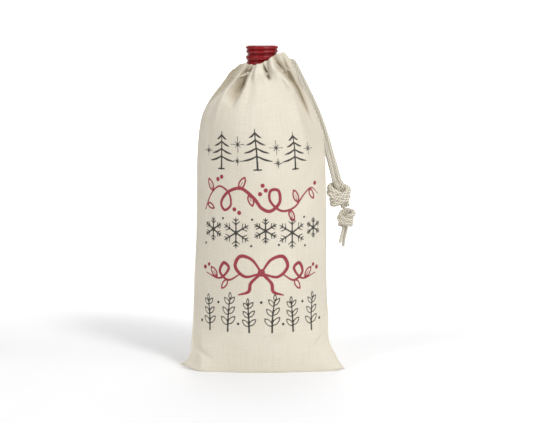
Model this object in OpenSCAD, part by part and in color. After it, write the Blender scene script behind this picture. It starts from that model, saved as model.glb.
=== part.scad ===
// Wine gift bag: a flat-sewn cotton canvas drawstring bag standing with a
// screw-capped 750 ml bottle inside. Millimetres, +Z up, origin at the centre
// of the footprint, front of the bag towards -Y, drawstring at +X.

/* [Bag] */
// Thickness of the canvas
cloth_t = 0.8; // [0.7:0.05:0.9]
// Half width of the flat bottom seam, corner to middle
seam_half_w = 77.5; // [76:0.5:79]
// Height of the gathered mouth at the front
mouth_z = 286.5; // [285.5:0.5:287.5]
// How far the casing's end stands up over the mouth, beside the neck
ear_h = 12; // [10:0.5:13]
// Height of the stitch line that closes the casing
stitch_z = 266; // [265:0.5:267]

/* [Drawstring] */
// Diameter of one strand of the braided cord
cord_d = 4.4; // [4.1:0.1:4.5]
// Radius of the cord's turn round the neck, to its centre
loop_r = 19.1; // [19:0.05:19.2]
// Height of the cord in its casing
loop_z = 279; // [278.5:0.5:279.5]

/* [Bottle] */
// Radius of the bottle's body
bottle_r = 37.3; // [36.8:0.1:37.4]
// Radius of the bottle's neck
neck_r = 14.2; // [14:0.05:14.25]
// Radius of the neck's bore
bore_r = 9.25; // [9:0.05:9.5]
// Outer radius of the screw cap
cap_r = 15; // [14.95:0.05:15.05]
// Height of the turning part of the cap
cap_h = 18.6; // [18:0.1:19]
// Height of the cap's top over the floor
cap_top = 305.2; // [305:0.1:305.6]

/* [Hidden] */

canvas = [0.89, 0.855, 0.78];
cotton = [0.84, 0.81, 0.74];
thread = [0.93, 0.90, 0.84];
red = [0.60, 0.06, 0.08];

NT = 30;            // steps round half of the bag
base_z = 2.5;       // underside of the bottle over the floor

// Outer cross-sections of the canvas: height, half width at -X, half width at
// +X, half depth, and how pointed the left and right sides are (1 is an
// ellipse). Over the shoulder the right side is drawn out into a flat fin.
LEVELS = [
    [0,   seam_half_w,     seam_half_w,     34.0, 2.3, 2.3],
    [2,   seam_half_w-0.5, seam_half_w-0.5, 38.2, 2.3, 2.3],
    [6,   74.5, 75.0, 39.0, 2.2, 2.2],
    [14,  70.0, 71.5, 39.1, 2.0, 2.0],
    [28,  67.0, 68.0, 39.1, 1.9, 1.9],
    [60,  65.0, 63.0, 39.0, 1.8, 1.8],
    [110, 63.5, 61.5, 39.0, 1.8, 1.8],
    [160, 62.0, 61.0, 39.0, 1.8, 1.8],
    [195, 60.5, 60.0, 38.8, 1.75, 1.85],
    [215, 58.5, 57.5, 37.6, 1.65, 2.1],
    [232, 55.0, 53.5, 35.0, 1.5, 2.35],
    [246, 50.0, 48.5, 31.5, 1.35, 2.4],
    [258, 41.0, 43.0, 27.5, 1.2, 2.4],
    [stitch_z, 33.0, 38.5, 25.0, 1.1, 2.2],
    [273, 26.5, 35.0, 23.2, 1.0, 1.5],
    [279, 23.6, 32.5, 22.6, 1.0, 1.3],
    [mouth_z - 1.5, 22.6, 30.0, 21.6, 1.0, 1.1],
    [mouth_z, 20.6, 27.5, 19.6, 1.0, 1.1]
];
// The hem inside the casing, its outer face: it leaves the canvas at the
// stitch line, stands round the neck and meets the canvas at the mouth's fold.
HEM = [
    [stitch_z - 3, 34.0, 37.0, 24.6, 1.15, 2.35],
    [stitch_z + 1, 28.6, 28.8, 22.4, 1.05, 1.6],
    [stitch_z + 6, 18.6, 18.8, 18.4, 1, 1],
    [stitch_z + 10, 16.5, 16.5, 16.5, 1, 1],
    [mouth_z - 2.6, 16.5, 16.5, 16.5, 1, 1],
    [mouth_z, 19.75, 17.6, 18.75, 1, 1]
];

function lerp(a, b, f) = a + (b - a) * f;
function step(f) = let (g = min(1, max(0, f))) g * g * (3 - 2 * g);
// The rise of the mouth's edge round the bag: none on the left and middle,
// full at the casing's end on the right, a little less at its very corner.
function rise(t) = ear_h * (step((cos(t) + 0.05) / 0.75) - 0.45 * step((cos(t) - 0.9) / 0.1));
function share(z) = step((z - 273) / (mouth_z - 273));
function side(t, L, off) = (cos(t) < 0 ? L[1] : L[2]) - off;
function spot(t, L, off) = [
    side(t, L, off) * cos(t),
    (sin(t) < 0 ? -1 : 1) * (L[3] - off) * pow(abs(sin(t)), cos(t) < 0 ? L[4] : L[5]),
    L[0] + rise(t) * share(L[0])
];

// Half of a closed-bottomed shell between two stacks of cross-sections.
module half_bag(levels, off, t0) {
    n = NT + 1;
    m = len(levels);
    ts = [for (i = [0:NT]) t0 + 180 * i / NT];
    outer = [for (L = levels) for (t = ts) spot(t, L, 0)];
    inner = [for (k = [0:m-1]) for (t = ts)
        let (p = spot(t, levels[k], off)) k == 0 ? [p[0], p[1], off] : p];
    b = n * m;
    function o(k, i) = k * n + i;
    function q(k, i) = b + k * n + i;
    polyhedron(points = concat(outer, inner), faces = concat(
        [for (k = [0:m-2]) for (i = [0:NT-1]) [o(k,i), o(k+1,i), o(k+1,i+1), o(k,i+1)]],
        [for (k = [0:m-2]) for (i = [0:NT-1]) [q(k,i), q(k,i+1), q(k+1,i+1), q(k+1,i)]],
        [for (i = [0:NT-1]) [o(m-1,i), q(m-1,i), q(m-1,i+1), o(m-1,i+1)]],
        [for (k = [0:m-2]) [o(k,0), q(k,0), q(k+1,0), o(k+1,0)]],
        [for (k = [0:m-2]) [o(k,NT), o(k+1,NT), q(k+1,NT), q(k,NT)]],
        [[for (i = [0:NT]) o(0,i)]],
        [[for (i = [NT:-1:0]) q(0,i)]],
        [[o(0,0), o(0,NT), q(0,NT), q(0,0)]]
    ), convexity = 8);
}

// Half of an open ring between two stacks of cross-sections.
module half_ring(levels, off, t0, t1) {
    n = NT + 1;
    m = len(levels);
    ts = [for (i = [0:NT]) t0 + (t1 - t0) * i / NT];
    outer = [for (L = levels) for (t = ts) spot(t, L, 0)];
    inner = [for (L = levels) for (t = ts) spot(t, L, off)];
    b = n * m;
    function o(k, i) = k * n + i;
    function q(k, i) = b + k * n + i;
    polyhedron(points = concat(outer, inner), faces = concat(
        [for (k = [0:m-2]) for (i = [0:NT-1]) [o(k,i), o(k+1,i), o(k+1,i+1), o(k,i+1)]],
        [for (k = [0:m-2]) for (i = [0:NT-1]) [q(k,i), q(k,i+1), q(k+1,i+1), q(k+1,i)]],
        [for (i = [0:NT-1]) [o(m-1,i), q(m-1,i), q(m-1,i+1), o(m-1,i+1)]],
        [for (i = [0:NT-1]) [o(0,i), o(0,i+1), q(0,i+1), q(0,i)]],
        [for (k = [0:m-2]) [o(k,0), q(k,0), q(k+1,0), o(k+1,0)]],
        [for (k = [0:m-2]) [o(k,NT), o(k+1,NT), q(k+1,NT), q(k,NT)]]
    ), convexity = 8);
}

module front_panel() { color(canvas) half_bag(LEVELS, cloth_t, 180); }
// The seam stops at the stitch line, so that the casing's end stands open at
// the back edge for both strands.
module back_panel() {
    color(canvas) difference() {
        half_bag(LEVELS, cloth_t, 0);
        translate([23.5, -1, stitch_z + 0.4]) cube([25, exit_y + 6, 50]);
    }
}
module front_casing_hem() { color(canvas) half_ring(HEM, cloth_t, 180, 360); }
module back_casing_hem() { color(canvas) half_ring(HEM, cloth_t, 0, 180); }

// A seam allowance: two raw edges sewn together, turned inside the bag.
module side_seam(s) {
    t = 1.2;
    ls = [for (L = LEVELS) if (L[0] > 3 && L[0] < 262) L];
    m = len(ls);
    function a(L) = (s < 0 ? L[1] : L[2]) - cloth_t - (L[4] > 1.6 ? 1.6 : 1.0);
    pts = [for (L = ls) for (c = [[0,-1],[0,1],[-8,1],[-8,-1]])
        [s * (a(L) + c[0]), c[1] * t / 2 * (c[0] == 0 ? 0.5 : 1), L[0]]];
    body = concat(
        [for (k = [0:m-2]) for (i = [0:3]) let (j = (i + 1) % 4)
            [k*4+i, k*4+j, (k+1)*4+j, (k+1)*4+i]],
        [[3,2,1,0]], [[for (i = [0:3]) (m-1)*4+i]]);
    polyhedron(points = pts, faces = s > 0 ? [for (f = body) [for (i = [len(f)-1:-1:0]) f[i]]] : body, convexity = 4);
}
module left_seam_allowance() { color(canvas) side_seam(-1); }
module right_seam_allowance() { color(canvas) side_seam(1); }
module bottom_seam_allowance() {
    color(canvas) translate([-seam_half_w + 12, 0.4, cloth_t + 0.05])
        cube([2 * seam_half_w - 24, 8, 1.25]);
}

// Stitches, each a short round thread lying on the canvas.
function mid(z, a0, a1, z0, z1) = lerp(a0, a1, (z - z0) / (z1 - z0));
module casing_stitches(t0, t1) {
    count = 20;
    for (i = [0:count-1]) {
        t = lerp(t0, t1, (i + 0.5) / count);
        d = 1.1;
        L = [stitch_z, 33.0, 38.5, 25.0, 1.1, 2.2];
        p = spot(t - d, L, -0.42);
        q = spot(t + d, L, -0.42);
        v = q - p;
        translate([p[0], p[1], stitch_z]) rotate([0, 90, atan2(v[1], v[0])])
            cylinder(h = max(1, sqrt(v[0]*v[0] + v[1]*v[1])), d = 0.5, $fn = 16);
    }
}
module front_casing_stitches() { color(thread) casing_stitches(188, 338); }
module back_casing_stitches() { color(thread) casing_stitches(42, 172); }
module bottom_seam_stitches() {
    color(thread) for (i = [0:27])
        translate([-66 + i * 4.75, 1.6, cloth_t + 1.32 + 0.16]) rotate([0, 90, 0])
            cylinder(h = 3.4, d = 0.3, $fn = 16);
}

// Route of the two strands below the casing, [x, z] down the middle between
// them. They hang behind the fin of the right seam.
ROUTE = [
    [29.9, 286.5], [31.1, 284.1], [32.3, 281.7], [33.6, 279.1],
    [38.4, 269.5], [43.2, 259.8], [48.0, 249.4], [52.6, 238.2], [56.8, 226.6],
    [60.4, 215.2], [63.6, 203.8], [66.4, 194.3], [69.0, 184.8], [71.3, 176.0]
];
split = 3;      // the route's point where the hanging part begins to swing
exit_y = 5.4;   // depth of the middle between the strands
out_dir = [0.447, -0.894];

function tangent(P, i) =
    let (v = P[min(i + 1, len(P) - 1)] - P[max(i - 1, 0)]) v / norm(v);
// The strands' places beside the middle line: offset across the hang, depth.
function along(k) = min(1, max(0, (k - split) / 10));
function beside(k, s) = lerp(1.55, 2.3, along(k)) * s;
function depth(k, s) = exit_y + lerp(1.65, 0.4, along(k)) * s;
// One strand: front lies to the left of the middle line, back to the right.
function strand(P, k0, k1, s) = [for (k = [k0:k1])
    let (t = tangent(P, k), c = [-t[1], t[0]] * beside(k, s))
    [P[k][0] + c[0], depth(k, s), P[k][1] + c[1]]];

// A tube swept along points in space.
module tube(P, d, sides = 10) {
    n = len(P);
    rings = [for (i = [0:n-1])
        let (v = P[min(i+1,n-1)] - P[max(i-1,0)], t = v / norm(v),
             u0 = cross(t, abs(t[1]) > 0.9 ? [1,0,0] : [0,1,0]), u = u0 / norm(u0), w = cross(t, u))
        for (j = [0:sides-1]) let (a = 360 * j / sides)
            P[i] + d / 2 * (u * cos(a) + w * sin(a))];
    polyhedron(points = rings, faces = concat(
        [for (i = [0:n-2]) for (j = [0:sides-1]) let (k = (j+1) % sides)
            [i*sides+j, i*sides+k, (i+1)*sides+k, (i+1)*sides+j]],
        [[for (j = [sides-1:-1:0]) j]],
        [[for (j = [0:sides-1]) (n-1)*sides+j]]), convexity = 6);
}
// The end of a strand's list moved along by d, to leave a gap.
function eased(P, d) = concat([P[0] + d * (P[1] - P[0]) / norm(P[1] - P[0])], [for (k = [1:len(P)-1]) P[k]]);

// The cord in its casing: one turn round the neck, then both ends rise to the
// casing's open end and bend over into the leads.
turn_r = 4.5;   // radius of that bend
function bend_end(s) = let (e = strand(ROUTE, 0, 0, s)[0], t = [0.447, 0, -0.894]) [
    for (a = [100, 75, 50, 25, 0])
        let (c = e - 1.2 * t - turn_r * [0.894, 0, 0.447], q = 26.57 + a)
        [c[0] + turn_r * cos(q), e[1] - (s < 0 ? 1 : 0.2) * [0, 0.1, 0.7, 2.2, 4.6][a / 25], c[2] + turn_r * sin(q)]];
module casing_cord() {
    ends = [for (s = [-1, 1]) bend_end(s)];
    stop = [for (s = [-1, 1]) strand(ROUTE, 0, 0, s)[0] - 0.05 * [0.447, 0, -0.894]];
    rise_f = [[19.4, -6.2, 284.6], [17.0, -9.9, 281.6]];
    rise_b = [[19.6, 10.2, 286.6], [16.6, 12.0, 282.4]];
    color(cotton) tube(concat(
        [stop[0]], [for (i = [4:-1:0]) ends[0][i]], rise_f,
        [for (a = [-44:-12:-320]) [loop_r * cos(a), loop_r * sin(a), loop_z]],
        [rise_b[1], rise_b[0]], ends[1], [stop[1]]), cord_d - 0.2);
}

module front_cord_lead() { color(cotton) tube(strand(ROUTE, 0, split, -1), cord_d); }
module back_cord_lead() { color(cotton) tube(strand(ROUTE, 0, split, 1), cord_d); }
module front_cord() { color(cotton) tube(eased(strand(ROUTE, split, 13, -1), 0.3), cord_d); }
module back_cord() { color(cotton) tube(eased(strand(ROUTE, split, 13, 1), 0.3), cord_d); }

// A tied knot as the round solid it fills: centre, radii round and along, tilt.
module knot_solid(c, r, h, tilt) {
    translate([c[0], exit_y, c[1]]) rotate([0, tilt, 0]) rotate_extrude($fn = 48)
        polygon([for (a = [-90:10:90]) [r * max(0, cos(a)), h / 2 * sin(a)]]);
}
upper_c = [73.9, 163.4];
lower_c = [80.2, 140.9];
module upper_knot() { color(cotton) knot_solid(upper_c, 9.6, 25.2, -12); }
module lower_knot() { color(cotton) knot_solid(lower_c, 7.6, 20.4, 4); }

TAIL_A = [[77.3, 4.1, 130.2], [76.4, 3.9, 126.6], [75.2, 3.7, 121.6], [74.2, 3.6, 117.4]];
TAIL_B = [[80.4, 6.5, 130.6], [79.3, 6.7, 125.6], [78.2, 6.8, 119.8], [77.3, 6.8, 113.6]];
module front_cord_tail() { color(cotton) tube(TAIL_A, 2.9, 8); }
module back_cord_tail() { color(cotton) tube(TAIL_B, 2.9, 8); }

// The bottle. Shoulder: a convex arc from the body and a concave arc into the
// neck, both tangent.
shoulder_z = 203;
sh_r = 27;
sh_n = 15;
sh_a = acos((neck_r - (bottle_r - sh_r) + sh_n) / (sh_r + sh_n));
neck_z = shoulder_z + (sh_r + sh_n) * sin(sh_a);
glass_top = cap_top - 2.6;
finish_r = 13.3;
function shoulder(d) = concat(
    [for (i = [0:6]) let (a = sh_a * i / 6) [bottle_r - sh_r + (sh_r - d) * cos(a), shoulder_z + (sh_r - d) * sin(a)]],
    [for (i = [1:5]) let (a = sh_a * (5 - i) / 5) [neck_r + sh_n - (sh_n + d) * cos(a), neck_z - (sh_n + d) * sin(a)]]);
function heel(d) = [for (i = [0:5]) let (a = 90 * i / 5) [bottle_r - 6 + (6 - d) * sin(a), base_z + 6 - (6 - d) * cos(a)]];
GLASS_OUT = concat(
    [[0, base_z + 19], [7, base_z + 18.2], [13, base_z + 15.6], [19, base_z + 11], [25, base_z + 4.2], [28, base_z + 0.9], [30, base_z]],
    heel(0), shoulder(0),
    [[neck_r, glass_top - 17.4], [finish_r, glass_top - 16.8], [finish_r, glass_top - 14.6], [finish_r + 0.9, glass_top - 13.9],
     [finish_r + 0.9, glass_top - 13.1], [finish_r, glass_top - 12.4], [finish_r, glass_top - 11.0],
     [finish_r + 0.6, glass_top - 10.4], [finish_r + 0.6, glass_top - 9.8], [finish_r, glass_top - 9.2], [finish_r, glass_top - 7.4],
     [finish_r + 0.6, glass_top - 6.8], [finish_r + 0.6, glass_top - 6.2], [finish_r, glass_top - 5.6],
     [finish_r, glass_top - 1.2], [finish_r - 1.2, glass_top]]);
GLASS_IN = concat(
    [[0, base_z + 23], [7, base_z + 22], [13, base_z + 19.3], [19, base_z + 15], [25, base_z + 9.4], [29.5, base_z + 6.6]],
    [[bottle_r - 4.8, base_z + 7.4], [bottle_r - 3.2, base_z + 10.5]],
    shoulder(3.2),
    [[bore_r, neck_z + 12], [bore_r, glass_top]]);
module bottle_glass() {
    color([0.10, 0.16, 0.09]) rotate_extrude($fn = 120)
        polygon(concat(GLASS_OUT, [for (i = [len(GLASS_IN)-1:-1:0]) GLASS_IN[i]]));
}
fill_z = 247;
module wine() {
    g = 0.05;
    body = [for (p = GLASS_IN) if (p[1] < neck_z - 1) [max(0, p[0] - g), p[1] + (p[1] < 40 ? g : 0)]];
    color([0.25, 0.02, 0.05]) rotate_extrude($fn = 120)
        polygon(concat(body, [[neck_r - 3.2 - g, neck_z], [mid(fill_z, neck_r - 3.2, bore_r, neck_z, neck_z + 12) - g, fill_z], [0, fill_z]]));
}

// The cap: the skirt stays on the neck, the upper part turns off its thread.
cap_t = 0.4;
module cap_skirt() {
    zb = neck_z + 5.5;
    zt = cap_top - cap_h - 0.5;
    color(red) rotate_extrude($fn = 120) polygon([
        [neck_r + 0.02, zb], [cap_r - 0.15, zb], [cap_r - 0.15, zt - 1], [cap_r - 0.45, zt],
        [neck_r + 0.02, zt]]);
}
module screw_cap() {
    t = cap_top;
    b = cap_top - cap_h;
    color(red) rotate_extrude($fn = 120) polygon([
        [0, t], [cap_r - 2.2, t], [cap_r - 0.9, t - 0.5], [cap_r - 0.3, t - 1.5], [cap_r - 0.2, t - 3.0],
        [cap_r - 0.55, t - 4.4], [cap_r, t - 5.4], [cap_r, t - 6.9], [cap_r - 0.6, t - 8.2], [cap_r - 0.6, t - 9.0],
        [cap_r, t - 10.2], [cap_r, t - 13.2], [cap_r - 0.4, t - 14.4], [cap_r - 0.4, t - 15.2], [cap_r, t - 16.4], [cap_r, b],
        [finish_r + 1.1, b], [finish_r + 1.1, t - 2.9], [finish_r + 0.35, t - 2.5], [finish_r + 0.35, t - 0.45], [0, t - 0.45]]);
}
module cap_liner() {
    color([0.9, 0.9, 0.88]) translate([0, 0, glass_top + 0.1])
        cylinder(r = finish_r, h = cap_top - 0.45 - 0.1 - glass_top - 0.1, $fn = 120);
}

front_panel();
back_panel();
front_casing_hem();
back_casing_hem();
left_seam_allowance();
right_seam_allowance();
bottom_seam_allowance();
front_casing_stitches();
back_casing_stitches();
bottom_seam_stitches();
casing_cord();
front_cord_lead();
back_cord_lead();
front_cord();
back_cord();
upper_knot();
lower_knot();
front_cord_tail();
back_cord_tail();
bottle_glass();
wine();
cap_skirt();
screw_cap();
cap_liner();
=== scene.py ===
import bpy, bmesh, math
import numpy as np
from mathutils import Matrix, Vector


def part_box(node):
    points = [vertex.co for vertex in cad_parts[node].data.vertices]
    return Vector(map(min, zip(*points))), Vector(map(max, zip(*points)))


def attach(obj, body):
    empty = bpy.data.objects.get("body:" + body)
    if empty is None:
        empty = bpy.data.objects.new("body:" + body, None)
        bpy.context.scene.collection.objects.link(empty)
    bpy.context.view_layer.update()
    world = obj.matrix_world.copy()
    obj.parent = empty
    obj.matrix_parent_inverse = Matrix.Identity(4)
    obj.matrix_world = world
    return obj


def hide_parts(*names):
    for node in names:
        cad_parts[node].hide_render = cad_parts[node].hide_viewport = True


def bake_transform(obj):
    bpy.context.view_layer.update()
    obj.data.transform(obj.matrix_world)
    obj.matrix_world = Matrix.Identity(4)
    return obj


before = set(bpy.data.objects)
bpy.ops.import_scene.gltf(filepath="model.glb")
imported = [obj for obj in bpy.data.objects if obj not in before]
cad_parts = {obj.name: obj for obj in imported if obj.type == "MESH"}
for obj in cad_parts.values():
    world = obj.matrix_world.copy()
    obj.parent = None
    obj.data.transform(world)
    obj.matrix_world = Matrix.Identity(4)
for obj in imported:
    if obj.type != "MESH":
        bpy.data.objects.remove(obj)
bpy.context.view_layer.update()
scene = bpy.context.scene
COL = scene.collection

# ------------------------------------------------------------------ camera
EL = math.radians(7.0)
DIST = 1.9
AIM = Vector((0.0042, 0.0, 0.1478))
cam_data = bpy.data.cameras.new("camera")
cam = bpy.data.objects.new("camera", cam_data)
COL.objects.link(cam)
cam.location = AIM + Vector((0, -math.cos(EL), math.sin(EL))) * DIST
cam.rotation_euler = (math.radians(90) - EL, 0, 0)
cam_data.sensor_width = 36.0
cam_data.lens = 36.0 * DIST / (533 * 0.00095)
cam_data.clip_start = 0.05
cam_data.clip_end = 60
scene.camera = cam


def new_mesh(name, verts, faces, smooth=True):
    me = bpy.data.meshes.new(name)
    me.from_pydata([tuple(map(float, v)) for v in verts], [], [tuple(int(i) for i in f) for f in faces])
    me.validate()
    if smooth:
        me.polygons.foreach_set("use_smooth", [True] * len(me.polygons))
    me.update()
    ob = bpy.data.objects.new(name, me)
    COL.objects.link(ob)
    return ob


def set_attr(ob, name, values, kind="FLOAT"):
    a = ob.data.attributes.new(name, kind, "POINT")
    if kind == "FLOAT":
        a.data.foreach_set("value", np.asarray(values, np.float32).ravel())
    else:
        a.data.foreach_set("vector", np.asarray(values, np.float32).ravel())


# ------------------------------------------------------------------ node helper
class Nodes:
    """Short names for building a material's node tree."""

    def __init__(self, name):
        self.mat = bpy.data.materials.new(name)
        self.mat.use_nodes = True
        self.t = self.mat.node_tree
        self.t.nodes.clear()
        self.out = self.t.nodes.new("ShaderNodeOutputMaterial")
        self.bsdf = self.t.nodes.new("ShaderNodeBsdfPrincipled")
        self.t.links.new(self.bsdf.outputs[0], self.out.inputs["Surface"])

    def n(self, kind, **kw):
        nd = self.t.nodes.new("ShaderNode" + kind)
        for k, v in kw.items():
            setattr(nd, k, v)
        return nd

    def put(self, sock, v):
        if hasattr(v, "is_linked") or isinstance(v, bpy.types.NodeSocket):
            self.t.links.new(v, sock)
        else:
            sock.default_value = v

    def math(self, op, a, b=None, c=None, clamp=False):
        nd = self.n("Math", operation=op, use_clamp=clamp)
        self.put(nd.inputs[0], a)
        if b is not None:
            self.put(nd.inputs[1], b)
        if c is not None:
            self.put(nd.inputs[2], c)
        return nd.outputs[0]

    def attr(self, name, out="Fac"):
        nd = self.n("Attribute", attribute_type="GEOMETRY", attribute_name=name)
        return nd.outputs[out]

    def noise(self, vec, scale, detail=2.0, rough=0.5, dims="3D", out="Fac"):
        nd = self.n("TexNoise", noise_dimensions=dims)
        if vec is not None:
            self.t.links.new(vec, nd.inputs["Vector"])
        nd.inputs["Scale"].default_value = scale
        nd.inputs["Detail"].default_value = detail
        nd.inputs["Roughness"].default_value = rough
        return nd.outputs[out]

    def coord(self):
        return self.n("TexCoord").outputs["Object"]

    def sep(self, vec):
        nd = self.n("SeparateXYZ")
        self.t.links.new(vec, nd.inputs[0])
        return nd.outputs

    def comb(self, x, y, z=0.0):
        nd = self.n("CombineXYZ")
        for s, v in zip(nd.inputs, (x, y, z)):
            self.put(s, v)
        return nd.outputs[0]

    def vmath(self, op, a, b=None, scale=None):
        nd = self.n("VectorMath", operation=op)
        self.put(nd.inputs[0], a)
        if b is not None:
            self.put(nd.inputs[1], b)
        if scale is not None:
            self.put(nd.inputs["Scale"], scale)
        return nd.outputs[0]

    def mix(self, f, a, b, mode="MIX"):
        nd = self.n("Mix", data_type="RGBA", blend_type=mode, clamp_factor=True)
        self.put(nd.inputs[0], f)
        self.put(nd.inputs[6], a)
        self.put(nd.inputs[7], b)
        return nd.outputs[2]

    def ramp(self, f, lo, hi):
        nd = self.n("MapRange", clamp=True)
        self.put(nd.inputs[0], f)
        nd.inputs[1].default_value = lo
        nd.inputs[2].default_value = hi
        return nd.outputs[0]

    def bump(self, h, strength, dist, normal=None):
        nd = self.n("Bump")
        nd.inputs["Strength"].default_value = strength
        nd.inputs["Distance"].default_value = dist
        self.put(nd.inputs["Height"], h)
        if normal is not None:
            self.t.links.new(normal, nd.inputs["Normal"])
        return nd.outputs[0]


def rgb(r, g, b):
    """A colour as seen on screen, 0 to 255, to linear."""
    f = lambda c: ((c / 255.0 + 0.055) / 1.055) ** 2.4 if c > 10 else c / 255.0 / 12.92
    return (f(r), f(g), f(b), 1.0)

# ------------------------------------------------------------------ floor and light
def build_stage():
    m = Nodes("floor_white")
    n = m.noise(m.coord(), 3.0, 3.0)
    m.put(m.bsdf.inputs["Base Color"], m.mix(n, rgb(244, 244, 244), rgb(242, 242, 243)))
    m.bsdf.inputs["Roughness"].default_value = 0.75
    m.bsdf.inputs["Specular IOR Level"].default_value = 0.2
    # a sheet that sweeps up behind the object
    prof = [(-9.0, 0.0), (1.6, 0.0)]
    for i in range(1, 13):
        a = math.radians(90 * i / 12)
        prof.append((1.6 + 0.9 * math.sin(a), 0.9 - 0.9 * math.cos(a)))
    prof.append((2.5, 4.0))
    vs, fs = [], []
    for x in (-9.0, 9.0):
        for y, z in prof:
            vs.append((x, y, z))
    k = len(prof)
    for i in range(k - 1):
        fs.append((i, k + i, k + i + 1, i + 1))
    floor = new_mesh("studio_floor", vs, fs)
    floor.data.materials.append(m.mat)

    def area(name, loc, aim, size, power, sy=None, colour=(1, 1, 1)):
        l = bpy.data.lights.new(name, "AREA")
        l.shape = "RECTANGLE"
        l.size = size
        l.size_y = sy or size
        l.energy = power
        l.color = colour
        o = bpy.data.objects.new(name, l)
        o.location = loc
        d = Vector(aim) - Vector(loc)
        o.rotation_euler = d.to_track_quat("-Z", "Y").to_euler()
        COL.objects.link(o)

    area("key_light", (0.95, -1.4, 1.75), (0, 0, 0.16), 0.5, 25.2, 0.5)
    area("soft_key", (1.7, -0.9, 1.1), (0, 0, 0.12), 1.5, 7.5, 1.5)
    area("fill_light", (-1.6, -1.6, 1.1), (0, 0, 0.2), 0.45, 12.0, 0.45)
    area("top_light", (0.1, 0.2, 2.3), (0, 0, 0.1), 1.7, 12, 1.7)
    area("backdrop_light", (0.0, 0.9, 1.7), (0, 2.6, 0.9), 1.8, 55, 0.8)
    w = bpy.data.worlds.new("studio")
    w.use_nodes = True
    w.node_tree.nodes["Background"].inputs[0].default_value = (1, 1, 1, 1)
    w.node_tree.nodes["Background"].inputs[1].default_value = 0.30
    scene.world = w
    scene.view_settings.view_transform = "Standard"
    scene.view_settings.look = "None"
    scene.view_settings.exposure = 0.0


# ------------------------------------------------------------------ the canvas
# Worked in millimetres on a 2.5 mm grid of the flat pattern, 155 x 330 a panel:
# columns go from the left seam round the front to the right seam and back.
W, H = 155.0, 330.0
NU, NV = 124, 132
HALF = NU // 2
V_CORD = NV - 4

LEFT = np.array([[-77.5, 0.6], [-71.5, 7], [-67.5, 16], [-66.2, 31], [-65.0, 48], [-64.0, 82], [-63.0, 105], [-62.0, 122],
  [-61.2, 158], [-61.0, 196], [-60.0, 213], [-58.8, 225], [-57.0, 236], [-55.3, 242], [-54.0, 247.5], [-51, 253], [-46.5, 259],
  [-42.5, 264.6], [-37.0, 270.3], [-31.6, 277], [-28, 281.0], [-21.2, 287.0]])
RIGHT = np.array([[77.5, 0.6], [73.5, 8], [69, 19], [65, 25], [62.3, 31], [62.5, 48], [61.5, 59], [60.5, 90], [60.5, 122],
  [60.2, 160], [59.4, 196], [57.9, 212], [56.1, 224.7], [51, 238], [45.5, 252], [43.2, 255.5], [37.5, 269], [33.7, 277.5], [30.9, 281.7], [28.6, 287.0]])

# Gathers at the cord and at the rim, from the left seam round the front to the
# right seam: x, y at the cord; x, y, z at the rim; how far down the fold runs.
FRONT = [
 (-31.4,  0.0, -20.7,  0.0, 287.0, 30),
 (-31.5, -5.5, -20.8, -3.5, 288.0, 30),
 (-21.5, -8.5, -15.6, -6.0, 288.4, 46),
 (-27.0,-15.5, -17.5,-10.2, 289.2, 46),
 (-21.5,-20.5, -14.6,-13.6, 289.0, 24),
 (-15.5,-15.5, -11.9,-11.6, 287.8, 16),
 (-15.0,-23.5, -10.4,-16.6, 288.2, 24),
 ( -9.8,-14.5,  -6.4,-14.9, 287.4, 36),
 ( -7.5,-24.5,  -5.0,-19.2, 288.6, 34),
 ( -1.0,-27.5,  -0.8,-20.3, 289.2, 20),
 (  4.5,-25.5,   3.4,-19.2, 291.6, 14),
 (  5.5,-17.0,   4.6,-15.4, 291.4, 13),
 (  9.5,-25.5,   7.4,-19.0, 294.0, 16),
 ( 13.5,-23.5,  10.2,-17.9, 295.6, 20),
 ( 13.6,-16.5,  10.4,-13.6, 295.2, 24),
 ( 20.5,-19.5,  15.2,-15.4, 298.6, 40),
 ( 22.6,-13.2,  16.8,-11.2, 298.6, 44),
 ( 27.5,-10.8,  21.0, -9.6, 299.4, 36),
 ( 31.0, -6.0,  25.8, -6.0, 293.0, 36),
 ( 29.5, -2.0,  26.2, -2.0, 289.6, 36)]
BACK = [
 ( 33.7,  0.6,  28.6,  0.8, 287.0, 30),
 ( 29.0,  4.5,  24.5,  4.0, 289.6, 30),
 ( 27.0, 12.0,  21.5,  9.0, 292.4, 30),
 ( 20.0, 10.0,  16.2,  8.0, 291.8, 30),
 ( 22.5, 18.0,  16.8, 13.4, 291.6, 30),
 ( 15.5, 15.0,  11.6, 12.0, 290.0, 26),
 ( 14.5, 23.5,  10.4, 17.8, 289.4, 26),
 (  8.0, 16.5,   6.0, 15.2, 287.4, 30),
 (  6.5, 26.0,   4.6, 19.6, 287.0, 30),
 (  0.5, 25.0,   0.4, 19.2, 286.4, 22),
 ( -0.5, 17.2,  -0.4, 15.8, 286.0, 22),
 ( -5.5, 26.0,  -4.2, 19.4, 286.0, 22),
 ( -9.0, 23.5,  -6.8, 18.0, 286.0, 30),
 ( -9.5, 15.5,  -7.0, 14.8, 286.0, 34),
 (-16.0, 22.0, -11.6, 16.6, 286.0, 34),
 (-15.5, 14.0, -11.2, 12.4, 286.0, 26),
 (-23.5, 17.0, -16.4, 12.6, 286.4, 26),
 (-20.5,  9.0, -14.6,  8.4, 286.6, 36),
 (-28.8,  9.5, -19.4,  7.0, 287.0, 36)]
DEEPER = 1.75       # the shoulder's creases, as a share of the table's
SHORTER = 0.70      # the gathers' runs, as a share of the table's


def st(f):
    f = np.clip(f, 0, 1)
    return f * f * (3 - 2 * f)


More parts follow.
